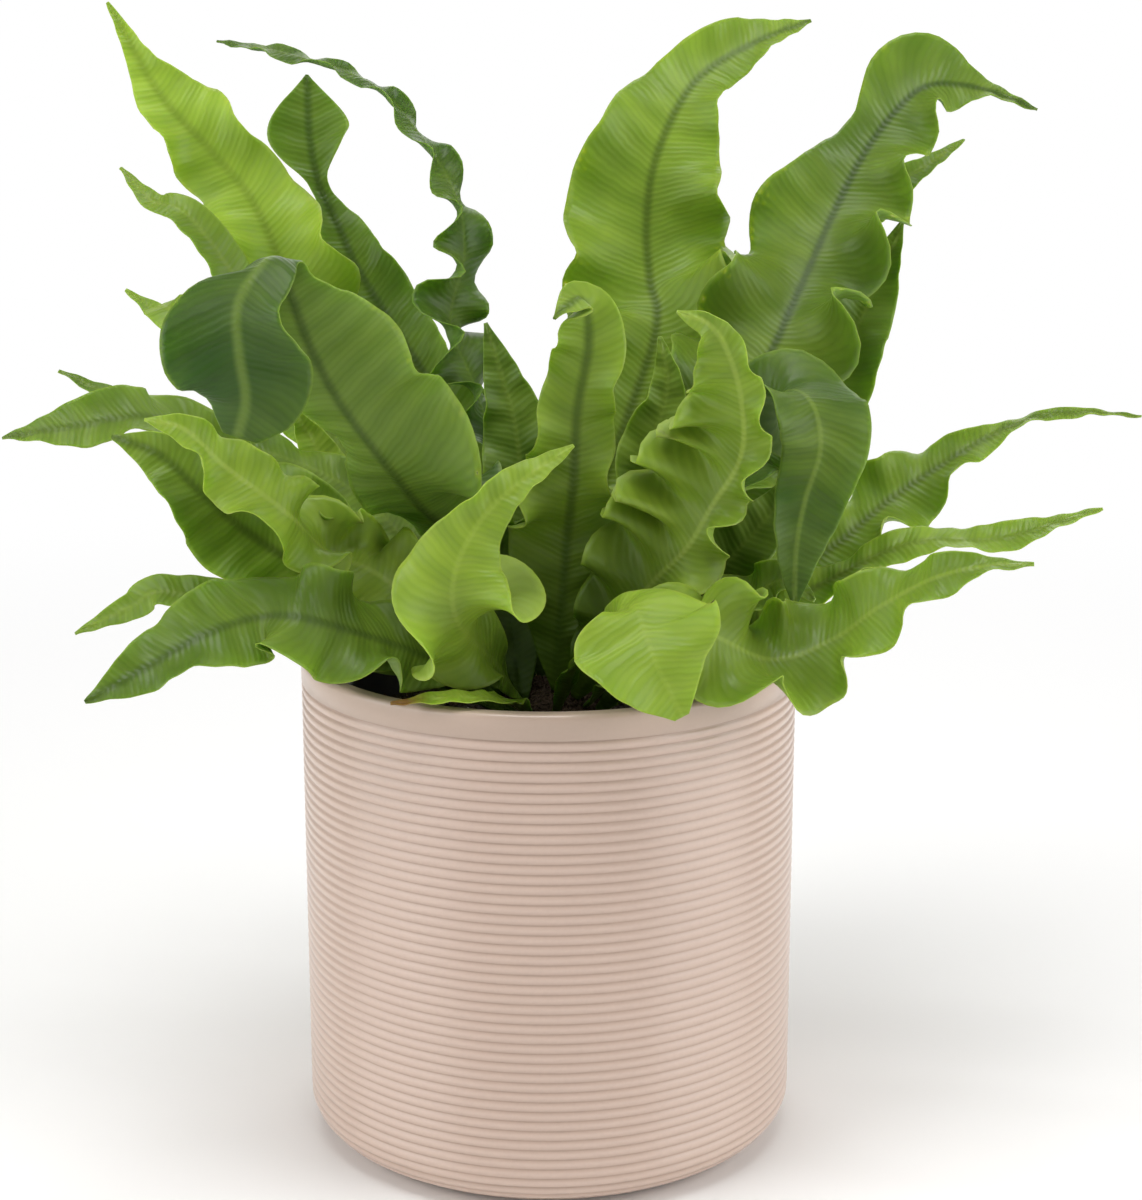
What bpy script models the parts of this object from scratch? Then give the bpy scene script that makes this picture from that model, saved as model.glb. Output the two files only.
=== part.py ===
"""Potted fern: a wavy-edged bird's-nest fern in its nursery pot, standing in a ribbed ceramic cover pot.

Metres, +Z up. The origin is the middle of the cover pot's flat underside.
The fronds' own numbers are in millimetres, above the same origin, for the pot sizes they grew in.
"""
import math

import bmesh
import bpy
import numpy as np

MM = 0.001

# Cover pot
pot_radius = 0.070
pot_height = 0.140
pot_wall = 0.005
pot_floor = 0.006
pot_corner_reach = 0.015
pot_corner_rise = 0.011
lip_band = 0.0072
lip_rounding = 0.0012
rib_pitch = 0.00277
rib_depth = 0.0007
inner_fillet = 0.005
pot_segments = 28

# Nursery pot, inside the cover pot
nursery_gap = 0.005
nursery_taper = 0.008
nursery_wall = 0.001
nursery_lip_width = 0.0018
nursery_lip_height = 0.003
nursery_drop = 0.012
drain_hole_radius = 0.004
drain_hole_ring = 0.034
drain_hole_count = 6
nursery_segments = 28

# Potting soil and the fern's crown
headspace = 0.021
soil_dome = 0.0008
crown_radius = 0.016
crown_height = 0.0127

# Foliage
frond_thickness = 0.0008
frond_reach = 1.0
frond_rise = 1.0

# Clearances
touch_gap = 0.0003
root_gap = 0.0008

# What the fronds' own numbers were set out for
grown_mouth = 0.065
grown_outside = 0.070
grown_soil = 0.119
grown_rim = 0.140
grown_crown_radius = 0.016
grown_crown_height = 0.0127

mouth_radius = pot_radius - pot_wall
soil_level = pot_height - headspace


# Scene and materials


def clear_scene():
    for item in list(bpy.data.objects):
        bpy.data.objects.remove(item, do_unlink=True)


def plain_material(name, colour, roughness):
    material = bpy.data.materials.new(name)
    material.use_nodes = True
    shader = material.node_tree.nodes["Principled BSDF"]
    shader.inputs["Base Color"].default_value = (*colour, 1.0)
    shader.inputs["Roughness"].default_value = roughness
    return material


def link_object(name, mesh, material):
    mesh.materials.append(material)
    piece = bpy.data.objects.new(name, mesh)
    bpy.context.scene.collection.objects.link(piece)
    return piece


# Turned pieces


def turned_piece(name, profile, segments, material):
    """Spins an open profile of (radius, height) about Z and closes the flat round openings at its ends."""
    shape = bmesh.new()
    points = [shape.verts.new((radius, 0.0, height)) for radius, height in profile]
    edges = [shape.edges.new(pair) for pair in zip(points[:-1], points[1:])]
    bmesh.ops.spin(
        shape,
        geom=points + edges,
        cent=(0, 0, 0),
        axis=(0, 0, 1),
        dvec=(0, 0, 0),
        angle=2 * math.pi,
        steps=segments,
        use_merge=True,
        use_duplicate=False,
    )
    bmesh.ops.remove_doubles(shape, verts=shape.verts, dist=1e-6)
    bmesh.ops.holes_fill(shape, edges=shape.edges, sides=0)
    bmesh.ops.recalc_face_normals(shape, faces=shape.faces)
    mesh = bpy.data.meshes.new(name)
    shape.to_mesh(mesh)
    shape.free()
    mesh.shade_smooth()
    mesh.set_sharp_from_angle(angle=math.radians(35))
    return link_object(name, mesh, material)


def arc(centre, reach, rise, start, end, steps):
    """Points of an elliptical arc in the (radius, height) plane, angles in degrees."""
    angles = [math.radians(start + (end - start) * i / steps) for i in range(steps + 1)]
    return [(centre[0] + reach * math.cos(a), centre[1] + rise * math.sin(a)) for a in angles]


def body_radius(height):
    """Outer radius of the cover pot, without its ribs: upright, with a rounded bottom corner."""
    if height >= pot_corner_rise:
        return pot_radius
    drop = 1.0 - height / pot_corner_rise
    return pot_radius - pot_corner_reach * (1.0 - math.sqrt(max(0.0, 1.0 - drop * drop)))


def ribbed_side():
    """The outside from the underside's edge to the lip band, in and out at every rib."""
    top = pot_height - lip_band
    lowest = pot_corner_rise * 0.25
    count = int((top - lowest) / rib_pitch)
    points = [(pot_radius - pot_corner_reach, 0.0)]
    for groove in range(count, 0, -1):
        height = top - groove * rib_pitch
        points.append((body_radius(height) - rib_depth, height))
        points.append((body_radius(height + rib_pitch / 2), height + rib_pitch / 2))
    points.append((pot_radius - rib_depth, top))
    return points


def cover_pot():
    glaze = plain_material("blush_glaze", (0.66, 0.50, 0.42), 0.28)
    rounding = lip_rounding
    outside = ribbed_side() + [(pot_radius, pot_height - lip_band + rib_pitch / 2)]
    over_lip = arc((pot_radius - rounding, pot_height - rounding), rounding, rounding, 0, 90, 3)
    into_mouth = arc((mouth_radius + rounding, pot_height - rounding), rounding, rounding, 90, 180, 3)
    fillet_centre = (mouth_radius - inner_fillet, pot_floor + inner_fillet)
    into_floor = arc(fillet_centre, inner_fillet, inner_fillet, 0, -90, 4)
    profile = outside + over_lip + into_mouth + into_floor
    return turned_piece("cover_pot", profile, pot_segments, glaze)


# Nursery pot, soil and crown


def nursery_outer_radius(height):
    """The nursery pot's tapering outside, widest under its lip."""
    top = nursery_top() - nursery_lip_height
    low = nursery_base()
    share = (height - low) / (top - low)
    widest = mouth_radius - nursery_gap - nursery_lip_width
    return widest - nursery_taper * (1.0 - share)


def nursery_top():
    return pot_height - nursery_drop


def nursery_base():
    return pot_floor + touch_gap


def drain_hole_cutter():
    """Upright pegs in a ring, which cut the drain holes."""
    shape = bmesh.new()
    for hole in range(drain_hole_count):
        angle = 2 * math.pi * hole / drain_hole_count
        bmesh.ops.create_cone(
            shape,
            cap_ends=True,
            segments=12,
            radius1=drain_hole_radius,
            radius2=drain_hole_radius,
            depth=nursery_wall * 6,
        )
        new_points = shape.verts[-24:]
        place = (drain_hole_ring * math.cos(angle), drain_hole_ring * math.sin(angle), nursery_base())
        bmesh.ops.translate(shape, verts=new_points, vec=place)
    mesh = bpy.data.meshes.new("drain_hole_cutter")
    shape.to_mesh(mesh)
    shape.free()
    cutter = bpy.data.objects.new("drain_hole_cutter", mesh)
    bpy.context.scene.collection.objects.link(cutter)
    cutter.hide_render = True
    cutter.display_type = "WIRE"
    return cutter


def nursery_pot():
    plastic = plain_material("dark_plastic", (0.02, 0.02, 0.022), 0.5)
    base = nursery_base()
    top = nursery_top()
    under_lip = top - nursery_lip_height
    wide = nursery_outer_radius(under_lip)
    narrow = nursery_outer_radius(base)
    profile = [
        (narrow, base),
        (wide, under_lip),
        (wide + nursery_lip_width, under_lip),
        (wide + nursery_lip_width, top),
        (wide - nursery_wall, top),
        (narrow - nursery_wall, base + nursery_wall),
    ]
    pot = turned_piece("nursery_pot", profile, nursery_segments, plastic)
    cut = pot.modifiers.new("drain_holes", "BOOLEAN")
    cut.operation = "DIFFERENCE"
    cut.object = drain_hole_cutter()
    return pot


def soil_radius(height):
    return nursery_outer_radius(height) - nursery_wall - touch_gap * 1.5


def potting_soil():
    peat = plain_material("potting_soil", (0.03, 0.02, 0.014), 0.95)
    low = nursery_base() + nursery_wall + touch_gap
    profile = [
        (soil_radius(low) - touch_gap, low),
        (soil_radius(soil_level - soil_dome), soil_level - soil_dome),
        (crown_radius * 2, soil_level - soil_dome * 0.3),
        (crown_radius, soil_level),
    ]
    return turned_piece("potting_soil", profile, nursery_segments, peat)


def crown_reach(height):
    """Radius of the domed crown at a height above the soil."""
    share = min(1.0, max(0.0, height / crown_height))
    return crown_radius * math.sqrt(1.0 - share * share)


def crown():
    bark = plain_material("crown", (0.07, 0.05, 0.025), 0.9)
    levels = [0.0, 0.25, 0.5, 0.7, 0.85, 0.95]
    base = soil_level + touch_gap
    profile = []
    for level in levels:
        height = level * (crown_height - touch_gap)
        profile.append((crown_reach(height) - touch_gap, base + height))
    return turned_piece("crown", profile, 20, bark)


# Frond surfaces


def through(values, stations):
    """Reads a smooth curve through evenly spaced values at stations from 0 to 1."""
    rows = np.asarray(values, float)
    if rows.ndim == 1:
        rows = rows[:, None]
    last = len(rows) - 1
    rows = np.vstack([2 * rows[0] - rows[1], rows, 2 * rows[-1] - rows[-2]])
    place = np.clip(stations, 0, 1) * last
    start = np.minimum(place.astype(int), last - 1)
    f = (place - start)[:, None]
    a, b, c, d = rows[start], rows[start + 1], rows[start + 2], rows[start + 3]
    return 0.5 * (2 * b + (c - a) * f + (2 * a - 5 * b + 4 * c - d) * f**2 + (3 * b - a - 3 * c + d) * f**3)


def unit(vectors):
    return vectors / np.linalg.norm(vectors, axis=-1, keepdims=True)


def midrib_frame(route, facing, stations):
    """Points along the midrib, with the way its upper face looks and the way to its right margin."""
    dense = through(route, np.linspace(0, 1, 401))
    steps = np.linalg.norm(np.diff(dense, axis=0), axis=1)
    length = np.concatenate([[0], np.cumsum(steps)]) / steps.sum()
    even = np.linspace(0, 1, 401)
    line = np.stack([np.interp(even, length, dense[:, k]) for k in range(3)], -1)
    slope = unit(np.gradient(line, axis=0))
    centre = np.stack([np.interp(stations, even, line[:, k]) for k in range(3)], -1)
    forward = unit(np.stack([np.interp(stations, even, slope[:, k]) for k in range(3)], -1))
    looks = through(facing, stations)
    up = unit(looks - (looks * forward).sum(1, keepdims=True) * forward)
    return centre, up, np.cross(forward, up)


def lift_angles(ruffle, rest, stations):
    """How far each station's half blade is turned up, in radians: its rest angle plus its waves."""
    waves, swing, start = ruffle
    warped = stations + 0.012 * np.sin(2 * np.pi * (1.7 * stations + start))
    fade = np.clip(np.sin(np.pi * stations), 0, 1) ** 0.5
    vary = 1 + 0.25 * np.sin(2 * np.pi * (2.3 * stations + start * 1.7))
    wave = swing * fade * vary * np.sin(2 * np.pi * (waves * warped + start))
    return np.radians(through(rest, stations)[:, 0] + wave)


def half_section(width, lift, share):
    """Sideways and upward reach of a half blade that curls as it goes out, its length kept."""
    parts = 12
    across = (np.arange(parts) + 0.5) / parts * share
    turn = lift[:, None] * across[None, :] ** 0.8
    step = width * share / parts
    return np.cos(turn).sum(1) * step, np.sin(turn).sum(1) * step


def grow(points):
    """Carries the fronds' set-out places to the pot's sizes, in step with its mouth, rim and soil."""
    radius = np.hypot(points[..., 0], points[..., 1])
    marks = [0.0, grown_crown_radius, grown_mouth, grown_outside, grown_outside + 1.0]
    places = [0.0, crown_radius, mouth_radius, pot_radius, pot_radius + frond_reach]
    spread = np.interp(radius, marks, places) / np.maximum(radius, 1e-9)
    grown_crown_top = grown_soil + grown_crown_height
    heights = [grown_soil, grown_crown_top, grown_rim, grown_rim + 1.0]
    levels = [soil_level, soil_level + crown_height, pot_height, pot_height + frond_rise]
    lifted = np.interp(points[..., 2], heights, levels)
    return np.stack([points[..., 0] * spread, points[..., 1] * spread, lifted], -1)


def root_point(azimuth, height):
    """Where a stalk leaves the crown, in millimetres."""
    share = (height * MM - grown_soil) / grown_crown_height
    radius = grown_crown_radius * math.sqrt(1.0 - share * share) + root_gap
    angle = math.radians(azimuth)
    return (radius / MM * math.cos(angle), radius / MM * math.sin(angle), height)


def blade_surface(frond):
    """The frond's middle surface: one row of points across the blade at each station."""
    stations = np.linspace(0, 1, frond["stations"] + 1)
    route = [root_point(*frond["root"])] + frond["route"]
    centre, up, right = midrib_frame(route, frond["facing"], stations)
    columns = [centre]
    for share in (0.5, 1.0):
        for side, way in (("left", -1), ("right", 1)):
            width = np.maximum(through(frond[side], stations)[:, 0], 0.5)
            lift = lift_angles(frond["ruffle_" + side], frond["rest_" + side], stations)
            out, raised = half_section(width, lift, share)
            edge = centre + way * out[:, None] * right + raised[:, None] * up
            columns.insert(0 if way < 0 else len(columns), edge)
    return grow(np.stack(columns, 1) * MM)


def frond_solid(name, frond):
    """A thin closed blade on its middle surface."""
    surface = blade_surface(frond)
    rows, columns = surface.shape[:2]
    normal = unit(np.cross(np.gradient(surface, axis=1), np.gradient(surface, axis=0)))
    faces = (surface + normal * frond_thickness / 2, surface - normal * frond_thickness / 2)
    shape = bmesh.new()
    sheets = [[[shape.verts.new(point) for point in row] for row in face] for face in faces]
    for sheet in sheets:
        for i in range(rows - 1):
            for j in range(columns - 1):
                corners = (sheet[i][j], sheet[i + 1][j], sheet[i + 1][j + 1], sheet[i][j + 1])
                shape.faces.new((corners[0], corners[1], corners[2]))
                shape.faces.new((corners[0], corners[2], corners[3]))
    rims = [edge for edge in shape.edges if edge.is_boundary]
    bmesh.ops.bridge_loops(shape, edges=rims)
    bmesh.ops.triangulate(shape, faces=shape.faces)
    bmesh.ops.recalc_face_normals(shape, faces=shape.faces)
    mesh = bpy.data.meshes.new(name)
    shape.to_mesh(mesh)
    shape.free()
    mesh.shade_smooth()
    mesh.set_sharp_from_angle(angle=math.radians(60))
    return link_object(name, mesh, leaf_material(name, frond["age"]))


def leaf_material(name, age):
    """Leaf green from young (0) to old (1)."""
    young = np.array((0.24, 0.42, 0.05))
    old = np.array((0.04, 0.14, 0.02))
    return plain_material("leaf_" + name, tuple(young + (old - young) * age), 0.42)


# The fronds. Root is the azimuth and height of the stalk's root on the crown. Route is the midrib.
# Facing is where the upper face looks at even stations; left and right are half widths there.
# A ruffle is its number of waves, its swing in degrees and its start as a share of a wave.

fronds = {}

fronds["frond_tall_left"] = {
    "root": (141, 127),
    "route": [
        (-41, 37, 174), (-67, 48, 215), (-86, 57, 258),
        (-99, 60, 275), (-115, 61, 293), (-130, 66, 319),
    ],
    "facing": [(0, -1, 0.4), (0.1, -1, 0.3), (0.2, -1, 0.2)],
    "left": (1.3, 4, 7, 10, 13, 15, 17, 19, 18, 14, 11, 4, 0.5),
    "right": (1.3, 4, 7, 10, 13, 16, 18, 21, 17, 13, 14, 5, 0.5),
    "ruffle_left": (6, 72, 0.33),
    "ruffle_right": (6, 65, 0.62),
    "rest_left": (15, 15),
    "rest_right": (15, 15),
    "stations": 23,
    "age": 0.22,
}
fronds["frond_ruffled_arch"] = {
    "root": (111, 126),
    "route": [
        (-10, 17, 170), (-21, 33, 207), (-29, 36, 228), (-25, 40, 247), (-27, 43, 263),
        (-36, 47, 279), (-51, 54, 295), (-73, 62, 303), (-99, 72, 308),
    ],
    "facing": [(-0.3, -1, 0.2), (0.9, -0.5, 0.2), (0.9, -0.5, 0.3), (0.5, -0.3, 0.9), (0.1, -0.5, 1)],
    "left": (1.2, 2.5, 4, 8, 12, 14, 12, 9, 7, 5, 4, 4, 0.5),
    "right": (1.2, 2.5, 4, 8, 12, 14, 12, 9, 7, 5, 4, 4, 0.5),
    "ruffle_left": (12, 60, 0.1),
    "ruffle_right": (12, 60, 0.35),
    "rest_left": (15, 15),
    "rest_right": (15, 15),
    "stations": 30,
    "age": 0.85,
}
fronds["frond_back_left"] = {
    "root": (121, 124.5),
    "route": [
        (-20, 45, 180), (-56, 72, 236), (-65, 80, 253),
        (-71, 85, 265), (-74, 89, 279), (-75, 94, 298),
    ],
    "facing": [(0, -1, 0.3), (0, -1, 0.2)],
    "left": (1.3, 5, 9, 12, 13, 13, 12, 10, 11, 7, 3, 13, 0.5),
    "right": (1.3, 5, 9, 12, 13, 13, 12, 11, 12, 8, 3, 13, 0.5),
    "ruffle_left": (5, 40, 0.3),
    "ruffle_right": (5, 40, 0.8),
    "rest_left": (15, 15),
    "rest_right": (15, 15),
    "stations": 16,
    "age": 0.62,
}
fronds["frond_left_sliver"] = {
    "root": (157, 124),
    "route": [(-56, 31, 185), (-99, 37, 253), (-115, 41, 263), (-125, 49, 272)],
    "facing": [(0, -0.4, 1), (0, -0.8, 1)],
    "left": (1.3, 4, 6, 7, 7, 6, 0.5),
    "right": (1.3, 4, 6, 7, 7, 6, 0.5),
    "ruffle_left": (5, 30, 0.3),
    "ruffle_right": (5, 30, 0),
    "rest_left": (15, 15),
    "rest_right": (15, 15),
    "stations": 13,
    "age": 0.45,
}
fronds["frond_left_short"] = {
    "root": (172, 124),
    "route": [(-61, 26, 190), (-103, 17, 231), (-114, 30, 233), (-122, 33, 238)],
    "facing": [(0, -0.5, 1), (0, -0.8, 1)],
    "left": (1.3, 4, 6, 8, 8, 7, 0.5),
    "right": (1.3, 4, 6, 8, 8, 7, 0.5),
    "ruffle_left": (4, 30, 0.3),
    "ruffle_right": (4, 30, 0),
    "rest_left": (15, 15),
    "rest_right": (15, 15),
    "stations": 11,
    "age": 0.4,
}
fronds["frond_folded_left"] = {
    "root": (236, 128),
    "route": [
        (-14, 7, 164), (-31, -14, 180), (-42, -38, 199), (-53, -44, 216), (-60, -48, 231), (-64, -54, 245),
        (-67, -60, 255), (-71, -68, 252), (-75, -72, 244), (-75, -72, 233), (-74, -70, 221), (-77, -66, 211),
    ],
    "facing": [
        (0.1, 1, 0.4), (0.2, 1, 0.5), (0.3, 1, 0.4), (0.3, 1, 0.4), (0.25, 1, 0.5), (0.2, 1, 0.5),
        (0.1, 1, 0.5), (-0.1, 1, 0.5), (-0.3, 0.2, 1), (-0.3, -1, 0.3), (-0.2, -1, 0.1), (0, -1, 0),
    ],
    "left": (1.3, 7, 12, 14, 19, 24, 26, 26, 26, 25, 18, 7, 10, 13, 17, 5),
    "right": (1.3, 6, 10, 13, 14, 14, 13, 13, 12, 10, 9, 4, 9, 19, 17, 4),
    "ruffle_left": (6, 38, 0.2),
    "ruffle_right": (5, 42, 0.7),
    "rest_left": (10, 10, 10, 10, 5, -10, -10, -5),
    "rest_right": (10, 10, 10, 10, 5, -10, -10, -5),
    "stations": 25,
    "age": 0.6,
}
fronds["frond_inner_back"] = {
    "root": (103, 129.5),
    "route": [(-6, 11, 161), (-9, 15, 197), (-13, 18, 214), (-18, 20, 230)],
    "facing": [(0, -1, 0.3), (0, -1, 0.3)],
    "left": (1.3, 6, 10, 12, 10, 6, 0.5),
    "right": (1.3, 6, 10, 12, 10, 6, 0.5),
    "ruffle_left": (5, 30, 0.3),
    "ruffle_right": (5, 25, 0),
    "rest_left": (15, 15),
    "rest_right": (15, 15),
    "stations": 13,
    "age": 0.7,
}
fronds["frond_left_reaching"] = {
    "root": (189, 127.5),
    "route": [(-54, -5, 170), (-95, -11, 201), (-107, -19, 209), (-124, -27, 208), (-143, -36, 206)],
    "facing": [(0, -0.5, 1), (0, -0.8, 1), (0, -0.9, 1)],
    "left": (1.3, 5, 8, 10, 10, 9, 11, 8, 0.5),
    "right": (1.3, 5, 8, 10, 10, 9, 11, 8, 0.5),
    "ruffle_left": (5, 40, 0.3),
    "ruffle_right": (5, 35, 0),
    "rest_left": (15, 15),
    "rest_right": (15, 15),
    "stations": 16,
    "age": 0.55,
}
fronds["frond_left_upper"] = {
    "root": (176, 125),
    "route": [(-51, 9, 180), (-103, 4, 203), (-120, 6, 210), (-137, 8, 218)],
    "facing": [(0, -0.5, 1), (0, -0.7, 1), (0, -0.7, 1)],
    "left": (1.3, 4, 6, 8, 7, 5, 0.5),
    "right": (1.3, 4, 6, 8, 7, 5, 0.5),
    "ruffle_left": (5, 30, 0.3),
    "ruffle_right": (5, 35, 0),
    "rest_left": (15, 15),
    "rest_right": (15, 15),
    "stations": 13,
    "age": 0.6,
}
fronds["frond_left_twisted"] = {
    "root": (209, 128.5),
    "route": [
        (-43, -30, 166), (-59, -24, 172), (-68, -46, 188),
        (-84, -44, 200), (-93, -48, 210), (-103, -50, 213),
    ],
    "facing": [(0.2, -1, 0.8), (0.2, -1, 0.8), (0.2, -1, 0.9)],
    "left": (1.3, 7, 12, 16, 14, 11, 8, 0.5),
    "right": (1.3, 7, 12, 16, 14, 11, 8, 0.5),
    "ruffle_left": (7, 75, 0.1),
    "ruffle_right": (7, 75, 0.62),
    "rest_left": (15, 15),
    "rest_right": (15, 15),
    "stations": 23,
    "age": 0.35,
}
fronds["frond_left_veined"] = {
    "root": (201, 125.5),
    "route": [(-48, -18, 155), (-79, -22, 176), (-91, -33, 190), (-102, -34, 201), (-115, -33, 206)],
    "facing": [(0, -1, 0.6), (0, -1, 0.6)],
    "left": (1.3, 8, 15, 18, 18, 14, 9, 0.5),
    "right": (1.3, 8, 15, 18, 18, 14, 9, 0.5),
    "ruffle_left": (5, 45, 0.1),
    "ruffle_right": (5, 50, 0.6),
    "rest_left": (15, 15),
    "rest_right": (15, 15),
    "stations": 16,
    "age": 0.5,
}
fronds["frond_left_inner"] = {
    "root": (162, 127.5),
    "route": [(-38, 15, 171), (-58, 15, 180), (-68, 18, 197), (-73, 13, 207)],
    "facing": [(0.3, -1, 0.3), (0.3, -1, 0.3)],
    "left": (1.3, 4, 7, 9, 7, 0.5),
    "right": (1.3, 4, 7, 9, 7, 0.5),
    "ruffle_left": (4, 30, 0.1),
    "ruffle_right": (4, 30, 0.6),
    "rest_left": (15, 15),
    "rest_right": (15, 15),
    "stations": 11,
    "age": 0.25,
}
fronds["frond_left_drooping"] = {
    "root": (238, 124),
    "route": [
        (-30, -38, 146), (-59, -63, 163), (-73, -63, 164),
        (-86, -74, 162), (-100, -80, 155), (-114, -86, 148),
    ],
    "facing": [(0, -0.6, 1), (0, -0.8, 0.8), (0, -0.9, 0.8), (0, -0.9, 0.8)],
    "left": (1.3, 6, 10, 15, 15, 13, 9, 0.5),
    "right": (1.3, 6, 10, 15, 15, 13, 9, 0.5),
    "ruffle_left": (5, 45, 0.1),
    "ruffle_right": (5, 45, 0.6),
    "rest_left": (15, 15),
    "rest_right": (15, 15),
    "stations": 20,
    "age": 0.62,
}
fronds["frond_left_low"] = {
    "root": (217, 123.5),
    "route": [(-46, -36, 147), (-96, -45, 166), (-109, -48, 163), (-123, -52, 157)],
    "facing": [(0, -0.6, 1), (0, -0.8, 0.8)],
    "left": (1.3, 4, 6, 7, 6, 0.5),
    "right": (1.3, 4, 6, 7, 6, 0.5),
    "ruffle_left": (4, 35, 0.1),
    "ruffle_right": (4, 35, 0.6),
    "rest_left": (15, 15),
    "rest_right": (15, 15),
    "stations": 11,
    "age": 0.5,
}
fronds["frond_front_curled"] = {
    "root": (245, 126),
    "route": [
        (-16, -38, 147), (-22, -58, 160), (-24, -64, 170),
        (-21, -64, 182), (-12, -60, 194), (7, -54, 207),
    ],
    "facing": [(0.3, -0.6, 1), (0.3, -0.8, 0.7), (0.15, -1, 0.3), (0.2, -1, 0.4), (0.1, -1, 0.6)],
    "left": (1.3, 3, 5, 8, 12, 17, 18, 13, 8, 6, 4, 0.5),
    "right": (1.3, 3, 6, 12, 20, 24, 22, 14, 8, 5, 3, 0.5),
    "ruffle_left": (4, 65, 0.1),
    "ruffle_right": (3, 50, 0.6),
    "rest_left": (15, 15),
    "rest_right": (15, 15),
    "stations": 20,
    "age": 0.22,
}
fronds["frond_front_rim"] = {
    "root": (279, 125.5),
    "route": [(9, -38, 148), (21, -64, 167), (25, -74, 162), (28, -80, 155), (34, -82, 143)],
    "facing": [(0, -0.4, 1), (0, -0.8, 0.8), (0.1, -1, 0.4)],
    "left": (1.3, 3, 4, 4, 4, 5, 8, 20, 13, 2),
    "right": (1.3, 3, 4, 5, 5, 5, 7, 19, 14, 2),
    "ruffle_left": (4, 28, 0.1),
    "ruffle_right": (4, 28, 0.6),
    "rest_left": (15, 15),
    "rest_right": (15, 15),
    "stations": 13,
    "age": 0.2,
}
fronds["frond_front_upright"] = {
    "root": (284, 130),
    "route": [(5, -14, 172), (7, -22, 192), (8, -27, 212), (11, -30, 230), (9, -33, 242), (2, -40, 238)],
    "facing": [(0, -1, 0.3), (0.1, -1, 0.2), (0, -1, 0.3), (0, -0.3, 1)],
    "left": (1.3, 9, 15, 17, 13, 10, 9, 0.5),
    "right": (1.3, 8, 12, 13, 11, 10, 9, 0.5),
    "ruffle_left": (5, 45, 0.1),
    "ruffle_right": (5, 45, 0.6),
    "rest_left": (15, 15),
    "rest_right": (15, 15),
    "stations": 18,
    "age": 0.4,
}
fronds["frond_ruffled_upright"] = {
    "root": (308, 128),
    "route": [
        (26, -27, 162), (37, -35, 176), (44, -38, 189), (50, -42, 200),
        (51, -46, 211), (48, -50, 226), (42, -52, 237), (33, -54, 241),
    ],
    "facing": [(0.2, -1, 0.5), (-0.2, -1, 0.4), (-0.4, -1, 0.3), (-0.5, -1, 0.3), (-0.3, -1, 0.5)],
    "left": (1.3, 10, 17, 24, 26, 24, 18, 9, 0.5),
    "right": (1.3, 7, 12, 14, 10, 8, 7, 5, 0.5),
    "ruffle_left": (11, 50, 0.1),
    "ruffle_right": (9, 75, 0.6),
    "rest_left": (15, 15),
    "rest_right": (15, 15),
    "stations": 30,
    "age": 0.42,
}
fronds["frond_inner_right"] = {
    "root": (14, 130),
    "route": [(26, 13, 169), (29, 4, 196), (33, 4, 214), (31, 4, 228)],
    "facing": [(0, -1, 0.3), (0, -1, 0.3)],
    "left": (1.3, 7, 11, 11, 7, 0.5),
    "right": (1.3, 7, 11, 11, 7, 0.5),
    "ruffle_left": (5, 50, 0.1),
    "ruffle_right": (5, 40, 0.6),
    "rest_left": (15, 15),
    "rest_right": (15, 15),
    "stations": 15,
    "age": 0.5,
}
fronds["frond_tall_centre"] = {
    "root": (75, 128),
    "route": [
        (12, 34, 169), (31, 55, 221), (30, 64, 238), (29, 68, 253), (31, 69, 271),
        (38, 74, 288), (47, 79, 299), (63, 83, 308), (79, 86, 314),
    ],
    "facing": [(0, -1, 0.3), (0, -1, 0.3), (0, -1, 0.3), (0, -1, 0.5), (-0.3, -0.9, 0.9)],
    "left": (1.3, 7, 12, 17, 22, 25, 27, 26, 24, 19, 13, 10, 0.5),
    "right": (1.3, 7, 12, 17, 22, 25, 28, 26, 24, 17, 10, 7, 0.5),
    "ruffle_left": (7, 40, 0.1),
    "ruffle_right": (7, 42, 0.6),
    "rest_left": (15, 15),
    "rest_right": (15, 15),
    "stations": 23,
    "age": 0.45,
}
fronds["frond_tall_right"] = {
    "root": (38, 128),
    "route": [
        (33, 23, 172), (61, 33, 214), (72, 44, 234), (84, 60, 257), (94, 68, 275),
        (104, 72, 288), (114, 74, 295), (129, 74, 294), (146, 72, 288),
    ],
    "facing": [(-0.2, -1, 0.4), (-0.2, -1, 0.4), (-0.3, -1, 0.4), (-0.2, -0.9, 0.8), (0, -0.7, 1)],
    "left": (1.3, 7, 12, 16, 21, 26, 28, 26, 22, 24, 16, 12, 18, 6, 0.5),
    "right": (1.3, 7, 12, 16, 21, 22, 20, 26, 21, 25, 20, 17, 14, 5, 0.5),
    "ruffle_left": (6, 50, 0.1),
    "ruffle_right": (9, 65, 0.6),
    "rest_left": (15, 15),
    "rest_right": (15, 15),
    "stations": 30,
    "age": 0.54,
}
fronds["frond_back_right"] = {
    "root": (45, 123),
    "route": [(44, 42, 178), (89, 86, 245), (102, 94, 261), (117, 100, 270), (130, 106, 278)],
    "facing": [(-0.2, -1, 0.4), (-0.2, -1, 0.5)],
    "left": (1.3, 6, 10, 14, 16, 11, 6, 0.5),
    "right": (1.3, 6, 10, 14, 16, 11, 6, 0.5),
    "ruffle_left": (6, 45, 0.1),
    "ruffle_right": (6, 50, 0.6),
    "rest_left": (15, 15),
    "rest_right": (15, 15),
    "stations": 15,
    "age": 0.55,
}
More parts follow.
